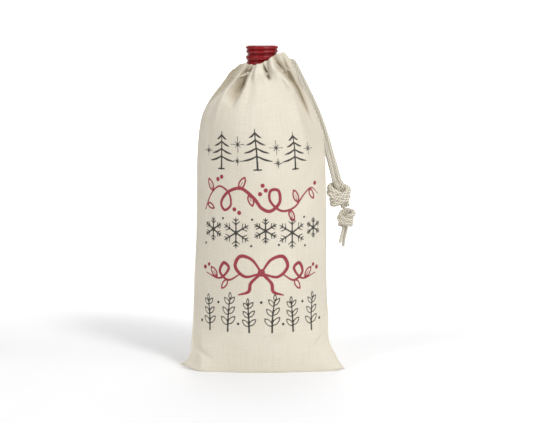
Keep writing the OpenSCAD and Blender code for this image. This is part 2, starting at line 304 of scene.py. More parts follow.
def ring_curve(C, per=24):
    n = len(C)
    out = []
    t = np.linspace(0, 1, per, endpoint=False)[:, None]
    for i in range(n):
        p0, p1, p2, p3 = C[(i - 1) % n], C[i], C[(i + 1) % n], C[(i + 2) % n]
        out.append(0.5 * ((2 * p1) + (-p0 + p2) * t + (2 * p0 - 5 * p1 + 4 * p2 - p3) * t ** 2
                          + (-p0 + 3 * p1 - 3 * p2 + p3) * t ** 3))
    return np.concatenate(out)


def base_cloth():
    D = ring_curve(np.array(FRONT + BACK, float))
    nf = len(FRONT) * 24
    Q = np.vstack([D, D[:1]])
    s = np.r_[0, np.cumsum(np.hypot(np.diff(Q[:, 0]), np.diff(Q[:, 1])))]
    ls, tot = s[nf], s[-1]
    u = np.where(s <= ls, s / ls * W, W + (s - ls) / (tot - ls) * W)
    cols = [np.interp(np.arange(NU) * 2.5, u, Q[:, k]) for k in range(6)]
    cord = np.stack(cols[:2], 1)
    rim = np.stack(cols[2:5], 1)
    run = cols[5] * SHORTER
    k = np.arange(NU)
    k = np.minimum(k, NU - k) * 2.5
    g = np.exp(-0.5 * (k / 13.0) ** 2)
    g /= g.sum()
    F = np.fft.fft(g)
    sm = np.stack([np.real(np.fft.ifft(np.fft.fft(cord[:, c]) * F)) for c in range(2)], 1)
    off = cord - sm
    lean = (rim[:, 2] - 287.0) * 0.62
    P = np.zeros((NV + 1, NU, 3))
    v = np.arange(NV + 1) * 2.5
    cen = np.array([[0, 0.8], [31, 0.8], [34.5, 1.6], [37.2, 4.2], [38.5, 8.5], [38.7, 203], [38.6, 225], [37.6, 240],
                    [34.6, 254], [29.5, 266], [24.0, 277.5]])
    cs = np.r_[0, np.cumsum(np.linalg.norm(np.diff(cen, axis=0), axis=1))]
    cs = np.where(cs > 238, 238 + (cs - 238) * (v[V_CORD] - 238) / (cs[-1] - 238), cs)

    def arc(S, ztop):
        S2 = np.vstack([S[S[:, 1] < ztop], [np.interp(ztop, S[:, 1], S[:, 0]), ztop]])
        return S2, np.r_[0, np.cumsum(np.linalg.norm(np.diff(S2, axis=0), axis=1))]

    L2, lS = arc(LEFT, 277.5)
    R2, rS = arc(RIGHT, 277.5)
    T = np.linspace(0, np.pi, 1501)
    for j in range(V_CORD + 1):
        yc, zc = np.interp(v[j], cs, cen[:, 0]), np.interp(v[j], cs, cen[:, 1])
        sl = np.interp(v[j], [0, 190, v[V_CORD]], [0, 189, lS[-1]])
        sr = np.interp(v[j], [0, 190, v[V_CORD]], [0, 189, rS[-1]])
        xl, zl = np.interp(sl, lS, L2[:, 0]), np.interp(sl, lS, L2[:, 1])
        xr, zr = np.interp(sr, rS, R2[:, 0]), np.interp(sr, rS, R2[:, 1])
        b = max(yc, 0.5)
        zz = 0.5 * (zc + 0.5 * (zl + zr))
        pl = np.interp(zz, [0, 20, 120, 200, 232, 258, 272], [2.2, 1.9, 1.75, 1.7, 1.25, 0.82, 0.75])
        pr = np.interp(zz, [0, 20, 120, 200, 232, 258, 272], [2.2, 1.9, 1.75, 1.8, 2.0, 1.9, 1.4])
        w = st((v[j] - 262) / (v[V_CORD] - 262))
        for half in (0, 1):
            t = T + (np.pi if half == 0 else 0.0)
            a = np.where(np.cos(t) < 0, -xl, xr)
            p = np.where(np.cos(t) < 0, pl, pr)
            x = a * np.cos(t)
            y = np.sign(np.sin(t)) * b * np.abs(np.sin(t)) ** p
            d = np.r_[0, np.cumsum(np.hypot(np.diff(x), np.diff(y)))]
            d = d / d[-1] * W
            uu = np.arange(HALF + 1) * 2.5
            xs, ys = np.interp(uu, d, x), np.interp(uu, d, y)
            wt = np.clip(np.abs(xs) / np.where(xs < 0, -xl, xr), 0, 1) ** 2.2
            zs = zc * (1 - wt) + np.where(xs < 0, zl, zr) * wt
            cc = (np.arange(HALF + 1) + HALF * half) % NU
            q = np.stack([xs, ys, zs], 1)
            tgt = np.column_stack([sm[cc], 277.5 + lean[cc]])
            r = q * (1 - w) + tgt * w
            r[:, :2] += off[cc] * np.exp(-((v[V_CORD] - v[j]) / run[cc]) ** 1.4)[:, None]
            P[j, cc] = r
    for j in range(V_CORD, NV + 1):
        f = (j - V_CORD) / (NV - V_CORD)
        g = f ** 1.2
        P[j, :, :2] = cord * (1 - g) + rim[:, :2] * g
        P[j, :, 2] = (277.5 + lean) * (1 - f) + rim[:, 2] * f
    # ease the bend where the cloth turns in to the rim
    ext = np.concatenate([P, 2 * P[-1:] - P[-2:-14:-1]])
    ker = np.exp(-0.5 * (np.arange(-9, 10) / 3.0) ** 2)
    ker /= ker.sum()
    S = P.copy()
    for j in range(96, NV + 1):
        w = st((j - 96) / 14.0)
        acc = sum(ker[i] * ext[j + i - 9] for i in range(19))
        S[j] = P[j] * (1 - w) + acc * w
    # the empty corners lie on the floor, pushed forward in line with the front
    ax = np.abs(S[..., 0])
    yt = -np.interp(ax, [0, 12, 24, 36, 44, 56, 66, 72, 80], [38.7, 38.3, 37.5, 36.2, 35.2, 33.4, 31, 28, 23]) * np.where(S[..., 0] < -58, np.interp(ax, [58, 77], [1.0, 0.6]), 1.0)
    fr = np.arange(NU)[None] <= HALF
    fall = np.where(fr, 1 - st(S[..., 2] / 58.0), 1 - st(v[:, None] / 38.0))
    fall[:, 0] = fall[:, HALF] = 0
    for col in (0, HALF):
        fall[:, col] = 1 - st(S[:, col, 2] / 58.0)
    S[..., 1] -= np.maximum(0, S[..., 1] - yt) * fall
    # and the front's lower edge stays down on the floor between them
    low = (1 - st(v[:, None] / 52.0)) * st((ax - 24) / 12) * fr
    S[..., 2] = S[..., 2] * (1 - 0.35 * low)
    # the rows spread evenly again below the shoulder
    n = 84
    for c in range(NU):
        q = S[:n + 1, c].copy()
        a = np.r_[0, np.cumsum(np.linalg.norm(np.diff(q, axis=0), axis=1))]
        t = np.linspace(0, a[-1], n + 1)
        mixw = st((n - np.arange(n + 1)) / 24.0)[:, None]
        S[:n + 1, c] = mixw * np.stack([np.interp(t, a, q[:, k]) for k in range(3)], 1) + (1 - mixw) * q
    tip = st((-S[..., 0] - 62) / 14) * (1 - st(S[..., 2] / 20.0))
    S[..., 2] += 3.2 * tip
    tip = st((S[..., 0] - 66) / 11) * (1 - st(S[..., 2] / 16.0))
    S[..., 2] += 0.6 * tip
    return S


def finer(n, k):
    """Catmull-Rom weights that put k points for each step of an n-point row."""
    m = (n - 1) * k + 1
    A = np.zeros((m, n))
    for r in range(m):
        i, t = divmod(r, k)
        t /= k
        if i == n - 1:
            i, t = n - 2, 1.0
        w = [0.5 * (-t + 2 * t * t - t ** 3), 0.5 * (2 - 5 * t * t + 3 * t ** 3),
             0.5 * (t + 4 * t * t - 3 * t ** 3), 0.5 * (-t * t + t ** 3)]
        for o, ww in zip((-1, 0, 1, 2), w):
            q = i + o
            if q < 0:
                A[r, 0] += 2 * ww
                A[r, 1] -= ww
            elif q > n - 1:
                A[r, n - 1] += 2 * ww
                A[r, n - 2] -= ww
            else:
                A[r, q] += ww
    return A


# Creases pressed into a panel: the line as (x, height), depth at each point,
# how wide the hollow is to the left and to the right of the line, and a crest.
def S_(pts, depth, left, right, crest=0.0, cw=2.5):
    return dict(p=np.array(pts, float), d=np.array(depth, float), l=left, r=right, c=crest, cw=cw)


FRONT_CREASES = [
    S_([(-6.2, 285.5), (-10.4, 278.3), (-14.4, 271.7), (-17.0, 264.6), (-20.6, 257.9), (-23.3, 253.2)], [0.5, 2.6, 3.8, 3.4, 2.0, 0], 2.4, 0.8),
    S_([(0.3, 285.5), (3.5, 278.8), (5.9, 273.1), (7.5, 267.4)], [0.5, 2.6, 3.4, 0], 1.3, 0.8),
    S_([(11.9, 289.3), (17.6, 279.8), (25.2, 270.8), (31.3, 262.7), (36.1, 253.2), (40.9, 242.7), (45.1, 231.3)], [0.6, 1.4, 1.9, 1.7, 1.2, 0.7, 0], 0.9, 4.5),
    S_([(-13.7, 286.4), (-20.3, 278.3), (-27.3, 269.8), (-37.1, 258.9), (-48.4, 248.4)], [1.5, 3.0, 3.0, 2.2, 0], 2.2, 0.8),
    S_([(-16.6, 287.4), (-22.2, 279.8), (-28.5, 271.2), (-38.1, 260.8), (-49.4, 249.4), (-57.0, 239.9)], [3.5, 5.0, 5.5, 4.5, 2.5, 0], 14, 0.8, 0.9, 3),
    S_([(-6.2, 286.4), (-10.4, 278.8), (-14.2, 272.2), (-16.6, 264.6), (-20.4, 257.0), (-24.2, 250.3), (-29.0, 243.7)], [1.4, 3.6, 5.0, 5.7, 5.2, 3.2, 0], 9.0, 1.0, 1.2, 3),
    S_([(0.0, 287.4), (3.3, 278.8), (5.7, 273.1), (7.6, 268.4)], [2.6, 3.4, 2.6, 0], 2.2, 1, 0.6, 2),
    S_([(4.3, 286.4), (7.1, 278.8), (8.1, 272.2)], [1.5, 1.8, 0], 1.4, 1, 0.3, 1.5),
    S_([(7.1, 287.4), (13.8, 279.8), (22.3, 272.2), (29.0, 265.5), (33.7, 256.0), (39.4, 244.6), (45.1, 232.3), (48.9, 220.9)], [1.0, 2.0, 2.5, 2.6, 2.4, 1.9, 1.0, 0], 1.0, 8, 0.9, 2.2),
    S_([(10.0, 291.2), (15.7, 281.7), (22.3, 274.1), (27.5, 268.4)], [1.6, 2.4, 1.8, 0], 1, 2.2, 0.7, 1.6),
    S_([(20.4, 289.3), (24.2, 277.9), (30.9, 264.6), (36.6, 253.2), (41.3, 241.8), (46.1, 228.5)], [0.8, 1.8, 1.7, 1.2, 0.6, 0], 5.5, 5.5, 0, 2),
    S_([(-12.6, 287.4), (-11.5, 281.7)], [0.5, 0], 1, 1, 0, 1),
    S_([(-9.4, 287.4), (-10.4, 280.7)], [0.5, 0], 1, 0.8, 0, 1),
    S_([(61.3, 35.6), (56.5, 29.0), (50.8, 22.3), (44.2, 16.6)], [0, 1.6, 1.6, 0], 3, 2, 0.3, 3),
    S_([(74.6, 10.0), (67.0, 13.8), (58.4, 13.8)], [0, 1.3, 0], 3, 3, 0.2, 3),
    S_([(-65.1, 21.4), (-60.3, 15.7), (-52.7, 10.9), (-44.2, 8.1)], [0, 1.4, 1.2, 0], 2.5, 2.5, 0.3, 3),
    S_([(-74.6, 5.2), (-67.0, 4.3), (-57.5, 3.3)], [0.6, 1.4, 0], 2, 2, 0.2, 3),
]
FRONT_RIDGES = [
    S_([(-16.6, 289.3), (-22.2, 280.7), (-28.5, 271.7), (-38.1, 260.8), (-49.0, 249.8), (-57.9, 239.9)], [2.6, 3.8, 4.4, 4.0, 2.4, 0], 2.6, 13),
    S_([(-5.6, 286.4), (-9.6, 278.8), (-13.2, 272.2), (-15.3, 264.6), (-19.5, 257.0), (-23.3, 249.4)], [1.2, 2.0, 2.2, 1.6, 0.8, 0], 0.9, 8),
    S_([(6.2, 288.3), (12.8, 279.8), (21.4, 272.2), (28.0, 265.5), (32.8, 256.0), (38.5, 244.6), (44.2, 232.3), (48.0, 220.9)], [1.0, 1.6, 2.2, 2.4, 2.2, 1.8, 1.0, 0], 9, 1.4),
    S_([(16.6, 296.9), (22.3, 289.3), (27.1, 277.9), (33.7, 264.6), (41.3, 249.4), (47.0, 234.2), (52.7, 219.0)], [1.0, 1.6, 2.0, 2.2, 2.0, 1.2, 0], 3, 3),
    S_([(0.4, 287.4), (3.9, 278.8), (6.7, 273.1)], [0.8, 1.2, 0], 0.9, 4),
]
BACK_RIDGES = [
    S_([(12.0, 289.0), (15.0, 274.0), (21.0, 258.0), (25.0, 246.0)], [1.0, 1.8, 1.4, 0], 0.9, 7),
    S_([(-13.0, 287.0), (-19.5, 272.0), (-28.5, 257.0), (-34.5, 244.0), (-39.0, 230.0)], [1.0, 2.0, 2.4, 1.4, 0], 8, 0.9),
]
BACK_CREASES = [
    S_([(26.0, 288.0), (31.0, 274.0), (38.0, 258.0), (44.0, 240.0), (48.0, 222.0)], [2.0, 3.6, 3.8, 2.4, 0], 3.0, 5.0, 0.8, 3),
    S_([(10.0, 289.0), (13.0, 274.0), (19.0, 258.0), (23.0, 246.0)], [2.6, 3.8, 2.4, 0], 1.1, 5.0, 0.9, 3),
    S_([(-3.0, 287.0), (-4.5, 274.0), (-4.0, 262.0)], [2.6, 3.0, 0], 2.2, 1.0, 0.6, 2),
    S_([(-12.0, 287.0), (-18.0, 272.0), (-27.0, 257.0), (-33.0, 244.0), (-38.0, 230.0)], [2.2, 4.2, 4.2, 2.6, 0], 5.0, 1.0, 1.0, 3),
    S_([(-22.0, 283.0), (-34.0, 266.0), (-46.0, 250.0), (-53.0, 236.0)], [1.5, 3.0, 2.6, 0], 4.0, 2.0, 0.4, 3),
    S_([(58.0, 40.0), (49.0, 30.0), (38.0, 22.0)], [0, 1.6, 0], 3, 3, 0.2, 3),
    S_([(-62.0, 34.0), (-54.0, 26.0), (-44.0, 21.0)], [0, 1.6, 0], 3, 3, 0.2, 3),
]


def press(Pm, creases, sign):
    """Depth of the creases at each point, in mm, for a panel facing -Y or +Y."""
    X = Pm[..., 0]
    Z = 0.9925 * Pm[..., 2] - 0.122 * np.abs(Pm[..., 1])
    out = np.zeros(X.shape)
    for c in creases:
        p = c["p"]
        L = np.r_[0, np.cumsum(np.hypot(*np.diff(p, axis=0).T))]
        # a finer line, so that its bends are round
        tt = np.linspace(0, L[-1], 60)
        q = np.stack([np.interp(tt, L, p[:, 0]), np.interp(tt, L, p[:, 1])], 1)
        for _ in range(6):
            q[1:-1] = 0.5 * q[1:-1] + 0.25 * (q[2:] + q[:-2])
        dq = np.interp(tt, L, c["d"])
        best = np.full(X.shape, 1e9)
        sd = np.zeros(X.shape)
        dd = np.zeros(X.shape)
        m = (X > q[:, 0].min() - 30) & (X < q[:, 0].max() + 30) & (Z > q[:, 1].min() - 30) & (Z < q[:, 1].max() + 30)
        xm, zm = X[m], Z[m]
        bb, ss, de = best[m], sd[m], dd[m]
        for i in range(len(q) - 1):
            ax, az = q[i]
            bx, bz = q[i + 1]
            ex, ez = bx - ax, bz - az
            l2 = ex * ex + ez * ez
            h = ((xm - ax) * ex + (zm - az) * ez) / l2
            hc = np.clip(h, 0, 1)
            dist = np.hypot(xm - ax - hc * ex, zm - az - hc * ez)
            s = ((xm - ax) * (-ez) + (zm - az) * ex) / math.sqrt(l2)
            k = dist < bb
            bb = np.where(k, dist, bb)
            ss = np.where(k, s, ss)
            # past either end the crease dies away
            over = np.maximum(0, -h) if i == 0 else (np.maximum(0, h - 1) if i == len(q) - 2 else 0 * h)
            f = np.exp(-(over * math.sqrt(l2) / 4.0) ** 2)
            de = np.where(k, (dq[i] * (1 - hc) + dq[i + 1] * hc) * (f if i else np.where(zm > q[0, 1], 1.0, f)), de)
        # s > 0 is the left of a line that runs down
        s_left = -ss
        wl, wr = c["l"], c["r"]
        a = np.where(s_left < 0, np.exp(-(np.abs(ss) / wr) ** 1.15), np.exp(-(np.abs(ss) / wl) ** 1.5))
        a = de * a
        if c["c"]:
            mx = max(c["d"])
            tall = -1 if wl > wr else 1
            cs = -s_left * 1.0
            crest_at = (wr + 2.2) if wl > wr else -(wl + 2.2)
            crest = c["c"] * (de / mx) * np.exp(-((cs - crest_at) / c["cw"]) ** 2)
            a = a - crest
        out[m] += a
    return out


def soft_noise(shape, cells, seed):
    """Smooth random field, about cells[0] x cells[1] lumps."""
    rng = np.random.default_rng(seed)
    g = rng.normal(size=(cells[0] + 3, cells[1] + 3))
    y = np.linspace(0, cells[0], shape[0]) + 1
    x = np.linspace(0, cells[1], shape[1]) + 1
    def wts(c, n):
        i = np.clip(np.floor(c).astype(int), 1, n - 3)
        t = c - i
        A = np.zeros((len(c), n))
        r = np.arange(len(c))
        A[r, i - 1] += (1 - t) ** 3 / 6
        A[r, i] += (3 * t ** 3 - 6 * t ** 2 + 4) / 6
        A[r, i + 1] += (-3 * t ** 3 + 3 * t ** 2 + 3 * t + 1) / 6
        A[r, np.minimum(i + 2, n - 1)] += t ** 3 / 6
        return A
    return wts(y, g.shape[0]) @ g @ wts(x, g.shape[1]).T


BASE = base_cloth()


def panel(which, k):
    """A panel's points, k to a grid step, with its flat pattern."""
    if which == "front":
        P = BASE[:, :HALF + 1]
    else:
        P = np.concatenate([BASE[:, HALF:], BASE[:, :1]], 1)
    A, B = finer(NV + 1, k), finer(HALF + 1, k)
    Q = np.einsum("ij,jkc->ikc", A, P)
    Q = np.einsum("ij,kjc->kic", B, Q)
    nv, nu = Q.shape[:2]
    v = np.linspace(0, H, nv)[:, None] * np.ones((1, nu))
    u = np.linspace(0, W, nu)[None] * np.ones((nv, 1))
    if which == "back":
        u = W - u      # seen from inside, so that both share the left seam at 0
    sign = -1.0 if which == "front" else 1.0
    d = press(Q, FRONT_CREASES if which == "front" else BACK_CREASES, sign)
    up = press(Q, FRONT_RIDGES if which == "front" else BACK_RIDGES, sign)
    n1 = soft_noise((nv, nu), (14, 7), 11 if which == "front" else 12)
    n2 = soft_noise((nv, nu), (46, 22), 21 if which == "front" else 22)
    n3 = soft_noise((nv, nu), (90, 12), 31 if which == "front" else 32)
    edge = st(np.minimum(u, W - u) / np.where(v > 225, 6.0, 14.0))
    low = st(v / 40.0)
    d = d * np.where(v > 200, DEEPER, 1.0)
    # painted shade: the deeper a crease is pressed, the more its colour is darkened
    painted_fold_shade = np.clip((d - 0.5) / 6.0, 0, 1)
    # painted shade also on the cloth behind the front's folded edges
    if which == "back":
        painted_fold_shade = np.maximum(painted_fold_shade, 1.35 * st(1.25 - u / 20.0) * st((v - 228) / 22.0))
    else:
        painted_fold_shade = np.maximum(painted_fold_shade, 0.35 * st((u - (W - 30)) / 9.0) * st((v - 205) / 40.0))
    d = d + (0.9 * n1 + 0.28 * n2 + 0.12 * n3) * (0.25 + 0.75 * low)
    d *= np.clip(np.abs(Q[..., 1]) / 9.0, 0, 1) * (0.15 + 0.85 * edge)
    d *= 0.25 + 0.75 * st((H - v) / 11.0)
    up *= np.where(v > 200, DEEPER, 1.0) * (0.1 + 0.9 * st(np.minimum(u, W - u) / 5.0)) * np.clip((H + 3 - v) / 14.0, 0, 1)
    Q[..., 1] += sign * (up - d)
    if which == "back":
        # the casing's end stands open behind the right seam, where the cord comes out
        f = st((v - 296) / 16.0) * st((u - (W - 16)) / 9.0)
        Q[..., 0] -= 4.6 * f
        Q[..., 1] += 9.0 * f
    return Q, u, v, painted_fold_shade


def grid_faces(nv, nu, flip=False):
    r = np.arange(nv - 1)[:, None] * nu + np.arange(nu - 1)[None]
    f = np.stack([r, r + 1, r + nu + 1, r + nu], -1).reshape(-1, 4)
    return f[:, ::-1] if flip else f


def fast_mesh(name, verts, faces):
    verts = np.asarray(verts, np.float32)
    faces = np.asarray(faces, np.int32)
    me = bpy.data.meshes.new(name)
    me.vertices.add(len(verts))
    me.vertices.foreach_set("co", verts.ravel())
    me.loops.add(faces.size)
    me.loops.foreach_set("vertex_index", faces.ravel())
    me.polygons.add(len(faces))
    me.polygons.foreach_set("loop_start", np.arange(len(faces), dtype=np.int32) * faces.shape[1])
    me.polygons.foreach_set("use_smooth", np.ones(len(faces), bool))
    me.update()
    me.validate()
    ob = bpy.data.objects.new(name, me)
    COL.objects.link(ob)
    return ob


def thicken(ob, t, offset):
    s = ob.modifiers.new("cloth_thickness", "SOLIDIFY")
    s.thickness = t
    s.offset = offset
    s.use_rim = True
    return ob


QF, UF, VF, HF = panel("front", 3)
QB, UB, VB, HB = panel("back", 2)
front = fast_mesh("front_canvas", QF.reshape(-1, 3) / 1000, grid_faces(*QF.shape[:2]))
back = fast_mesh("back_canvas", QB.reshape(-1, 3) / 1000, grid_faces(*QB.shape[:2]))
set_attr(front, "pat", np.stack([UF, VF, 0 * UF], -1).reshape(-1, 3) / 1000, "FLOAT_VECTOR")
set_attr(back, "pat", np.stack([UB, VB, 0 * UB], -1).reshape(-1, 3) / 1000, "FLOAT_VECTOR")
# the painted shade mask of the folds goes to the material
set_attr(front, "painted_fold_shade", HF)
set_attr(back, "painted_fold_shade", HB)
thicken(front, 0.0008, -1.0)
thicken(back, 0.0008, -1.0)


# ------------------------------------------------------------------ the print
# Everything is drawn with round pen strokes in the flat pattern, in mm from the
# panel's middle, so that it bends with the cloth. Distances go to the material.
INK = {"black": np.full(UF.shape, 9.0), "red": np.full(UF.shape, 9.0)}
# The rows stay level on the filled bag.
PX = UF - W / 2
PY = np.interp(QF[..., 2], [-5, 8.5, 203, 225, 240, 254, 266, 300], [30, 42.8, 237.3, 259.3, 274.4, 288.7, 301.7, 340])


def pen(colour, pts, r0, r1=None, rm=None):
    """A stroke through pts; radius r0 at its ends, or r0 to r1, and rm at its middle."""
    pts = np.array(pts, float)
    if len(pts) > 2:
        t = np.linspace(0, len(pts) - 1, 9 * (len(pts) - 1) + 1)
        ext = np.vstack([2 * pts[0] - pts[1], pts, 2 * pts[-1] - pts[-2]])
        i = np.minimum(t.astype(int), len(pts) - 2)
        f = (t - i)[:, None]
        p0, p1, p2, p3 = ext[i], ext[i + 1], ext[i + 2], ext[i + 3]
        q = 0.5 * (2 * p1 + (-p0 + p2) * f + (2 * p0 - 5 * p1 + 4 * p2 - p3) * f ** 2
                   + (-p0 + 3 * p1 - 3 * p2 + p3) * f ** 3)
    else:
        q = pts
    n = len(q)
    s = np.linspace(0, 1, n)
    rad = np.linspace(r0, r0 if r1 is None else r1, n)
    if rm is not None:
        rad = rad + (rm - rad) * np.sin(np.pi * s) ** 1.3
    D = INK[colour]
    for k in range(n - 1):
        a, b = q[k], q[k + 1]
        m = (PX > min(a[0], b[0]) - 4) & (PX < max(a[0], b[0]) + 4) & (PY > min(a[1], b[1]) - 4) & (PY < max(a[1], b[1]) + 4)
        if not m.any():
            continue
        e = b - a
        l2 = max(e @ e, 1e-9)
        x, y = PX[m] - a[0], PY[m] - a[1]
        h = np.clip((x * e[0] + y * e[1]) / l2, 0, 1)
        D[m] = np.minimum(D[m], np.hypot(x - h * e[0], y - h * e[1]) - (rad[k] + (rad[k + 1] - rad[k]) * h))


def turn(pts, c, deg, s=1.0):
    a = math.radians(deg)
    return [(c[0] + s * (x * math.cos(a) - y * math.sin(a)), c[1] + s * (x * math.sin(a) + y * math.cos(a))) for x, y in pts]


def dot(colour, x, y, r):
    pen(colour, [(x, y), (x + 0.01, y)], r)


def star(colour, x, y, R, r=0.62):
    for k in range(4):
        a = math.radians(45 * k + 90)
        L = R if k % 2 == 0 else R * 0.55
        pen(colour, [(x - L * math.cos(a), y - L * math.sin(a)), (x + L * math.cos(a), y + L * math.sin(a))], 0.30, rm=r * (1 if k % 2 == 0 else .8))


def fir(colour, x, y, h, lean=0.0):
    """A tree drawn in one hand: a stem, and three tiers of bent boughs."""
    pen(colour, [(x, y), (x + lean * 0.5, y + h * 0.5), (x + lean, y + h)], 0.9, 0.45)
    for f, w in ((0.22, 0.40), (0.42, 0.33), (0.62, 0.25), (0.80, 0.16)):
        cx, cy = x + lean * f, y + h * (f + 0.12)
        for sg in (-1, 1):
            pen(colour, [(cx, cy), (cx + sg * w * h * 0.5, cy - h * 0.085), (cx + sg * w * h, cy - h * 0.13)], 0.55, 0.35, rm=0.85)
    pen(colour, [(x - h * 0.10, y), (x + h * 0.10, y + 0.2)], 0.6)


def flake(colour, x, y, R):
    for k in range(6):
        a = 60 * k + 30
        arm = turn([(0, 0), (R, 0)], (x, y), a)
        pen(colour, arm, 0.75, 0.45)
        for f, l in ((0.52, 0.34), (0.76, 0.22)):
            for sg in (-1, 1):
                pen(colour, turn([(R * f, 0), (R * (f + l * 0.62), sg * R * l * 0.8)], (x, y), a), 0.5, 0.38)
    dot(colour, x, y, 1.2)


def leaf(colour, x, y, L, deg, r=0.55):
    pen(colour, turn([(0, 0), (L * 0.35, L * 0.20), (L * 0.75, L * 0.16), (L, 0)], (x, y), deg), r * 0.8)
    pen(colour, turn([(0, 0), (L * 0.35, -L * 0.20), (L * 0.75, -L * 0.16), (L, 0)], (x, y), deg), r * 0.8)
    if L > 11.5:
        pen(colour, turn([(0, 0), (L * 0.6, 0)], (x, y), deg), 0.36)


def sprig(colour, x, y, h, lean, n=3):
    top = (x + lean, y + h)
    mid = (x + lean * 0.25, y + h * 0.5)
    pen(colour, [(x, y), mid, top], 0.85, 0.45)
    for k in range(n):
        f = 0.22 + 0.62 * k / (n - 1)
        cx, cy = x + lean * f ** 1.6, y + h * f
        L = h * (0.36 - 0.10 * f)
        leaf(colour, cx, cy, L, 42 + 10 * f)
        leaf(colour, cx, cy - h * 0.03, L, 138 - 10 * f)
    leaf(colour, top[0], top[1] - 0.5, h * 0.2, 90 - lean)


def draw_print():
    # row 1: trees and stars, dark
    for x, h, l in ((-42, 35, 1.5), (-3, 38, -1.0), (36, 34, 1.2)):
        fir("black", x, 225.5, h, l)
    for x, y, R in ((-22.5, 249, 7.5), (-23.5, 233.5, 4.2), (16.5, 246, 7.0), (17.5, 231.5, 4.4), (53.5, 244, 6.0), (-59, 242, 5.0)):
        star("black", x, y, R)
    # row 2: a holly garland in red, one long swash with berries
    pen("red", [(-63, 186), (-55, 201), (-44, 209), (-33, 203), (-31, 192), (-38, 187), (-42, 194), (-34, 204), (-20, 208), (-7, 199),
                (0, 190), (9, 187), (18, 195), (17, 206), (9, 206), (9, 196), (20, 187), (34, 190), (45, 201), (55, 207), (64, 201)], 0.6, 0.5, rm=1.55)
    for x, y, d, L in ((-52, 204, 118, 13), (-22, 207, 62, 13), (-12, 203, -72, 12), (28, 188, -64, 12), (38, 194, 112, 13), (52, 206, -58, 11), (-60, 192, -24, 10)):
        leaf("red", x, y, L, d, 0.9)
    for x, y in ((-1, 203), (4.5, 206.5), (1.5, 211), (-27, 188), (-22, 185), (60, 211), (-46, 215.5), (-41.5, 218)):
        dot("red", x, y, 2.0)
    # row 3: snowflakes, dark
    for x, y, R in ((-52, 168, 11), (-25.5, 166, 14.5), (4, 168.5, 12), (31, 166, 15), (57, 169, 9.5)):
        flake("black", x, y, R)
    for x, y in ((-40, 179), (-10, 154), (-9, 179), (17, 155), (45, 180), (46, 153), (-62, 154)):
        dot("black", x, y, 1.1)
    # row 4: a ribbon bow with long tails, red
    for sg in (-1, 1):
        pen("red", [(0, 129), (sg * 9, 141), (sg * 21, 144), (sg * 26, 134), (sg * 16, 125), (sg * 2, 128)], 0.9, 0.9, rm=1.7)
        pen("red", [(sg * 2, 127), (sg * 10, 119), (sg * 12, 111), (sg * 22, 107.5)], 1.3, 0.6, rm=1.6)
        pen("red", [(sg * 20, 128), (sg * 33, 121), (sg * 43, 128), (sg * 39, 137), (sg * 33, 132), (sg * 43, 122), (sg * 60, 126)], 0.6, 0.45, rm=1.5)
        leaf("red", sg * 46, 123, 12, 90 - sg * 42, 0.85)
        leaf("red", sg * 34, 121.5, 11, 270 + sg * 35, 0.85)
        dot("red", sg * 62, 131, 2.0)
        dot("red", sg * 57, 134, 1.7)
    dot("red", 0, 129, 3.6)
    # row 5: winter sprigs, dark
    for x, h, l in ((-54, 28, -2.5), (-33, 31, 2.0), (-11, 27, -1.5), (11, 30.5, 2.5), (32.5, 28, -2), (54, 30, 2)):
        sprig("black", x, 72.5, h, l)
    for x, y in ((-44, 99), (-22, 80), (0.5, 101), (22, 80), (43.5, 100), (-65, 80), (65, 82)):
        dot("black", x, y, 1.25)


draw_print()
set_attr(front, "ink_black", np.clip(INK["black"], -2, 3))
set_attr(front, "ink_red", np.clip(INK["red"], -2, 3))


# ------------------------------------------------------------------ materials: canvas
def weave(m, u, v, pitch):
    """Plain weave height 0..1 from flat pattern coordinates in metres."""
    a = m.math("SINE", m.math("MULTIPLY", u, math.pi / pitch))
    b = m.math("SINE", m.math("MULTIPLY", v, math.pi / pitch))
    over = m.ramp(m.math("MULTIPLY", a, b), -0.12, 0.12)
    pa = m.math("POWER", m.math("ABSOLUTE", a), 0.6)
    pb = m.math("POWER", m.math("ABSOLUTE", b), 0.6)
    ha = m.math("MULTIPLY", pa, m.math("MULTIPLY_ADD", pb, 0.35, 0.65))
    hb = m.math("MULTIPLY", pb, m.math("MULTIPLY_ADD", pa, 0.35, 0.65))
    return m.math("ADD", m.math("MULTIPLY", ha, over), m.math("MULTIPLY", hb, m.math("SUBTRACT", 1.0, over)))


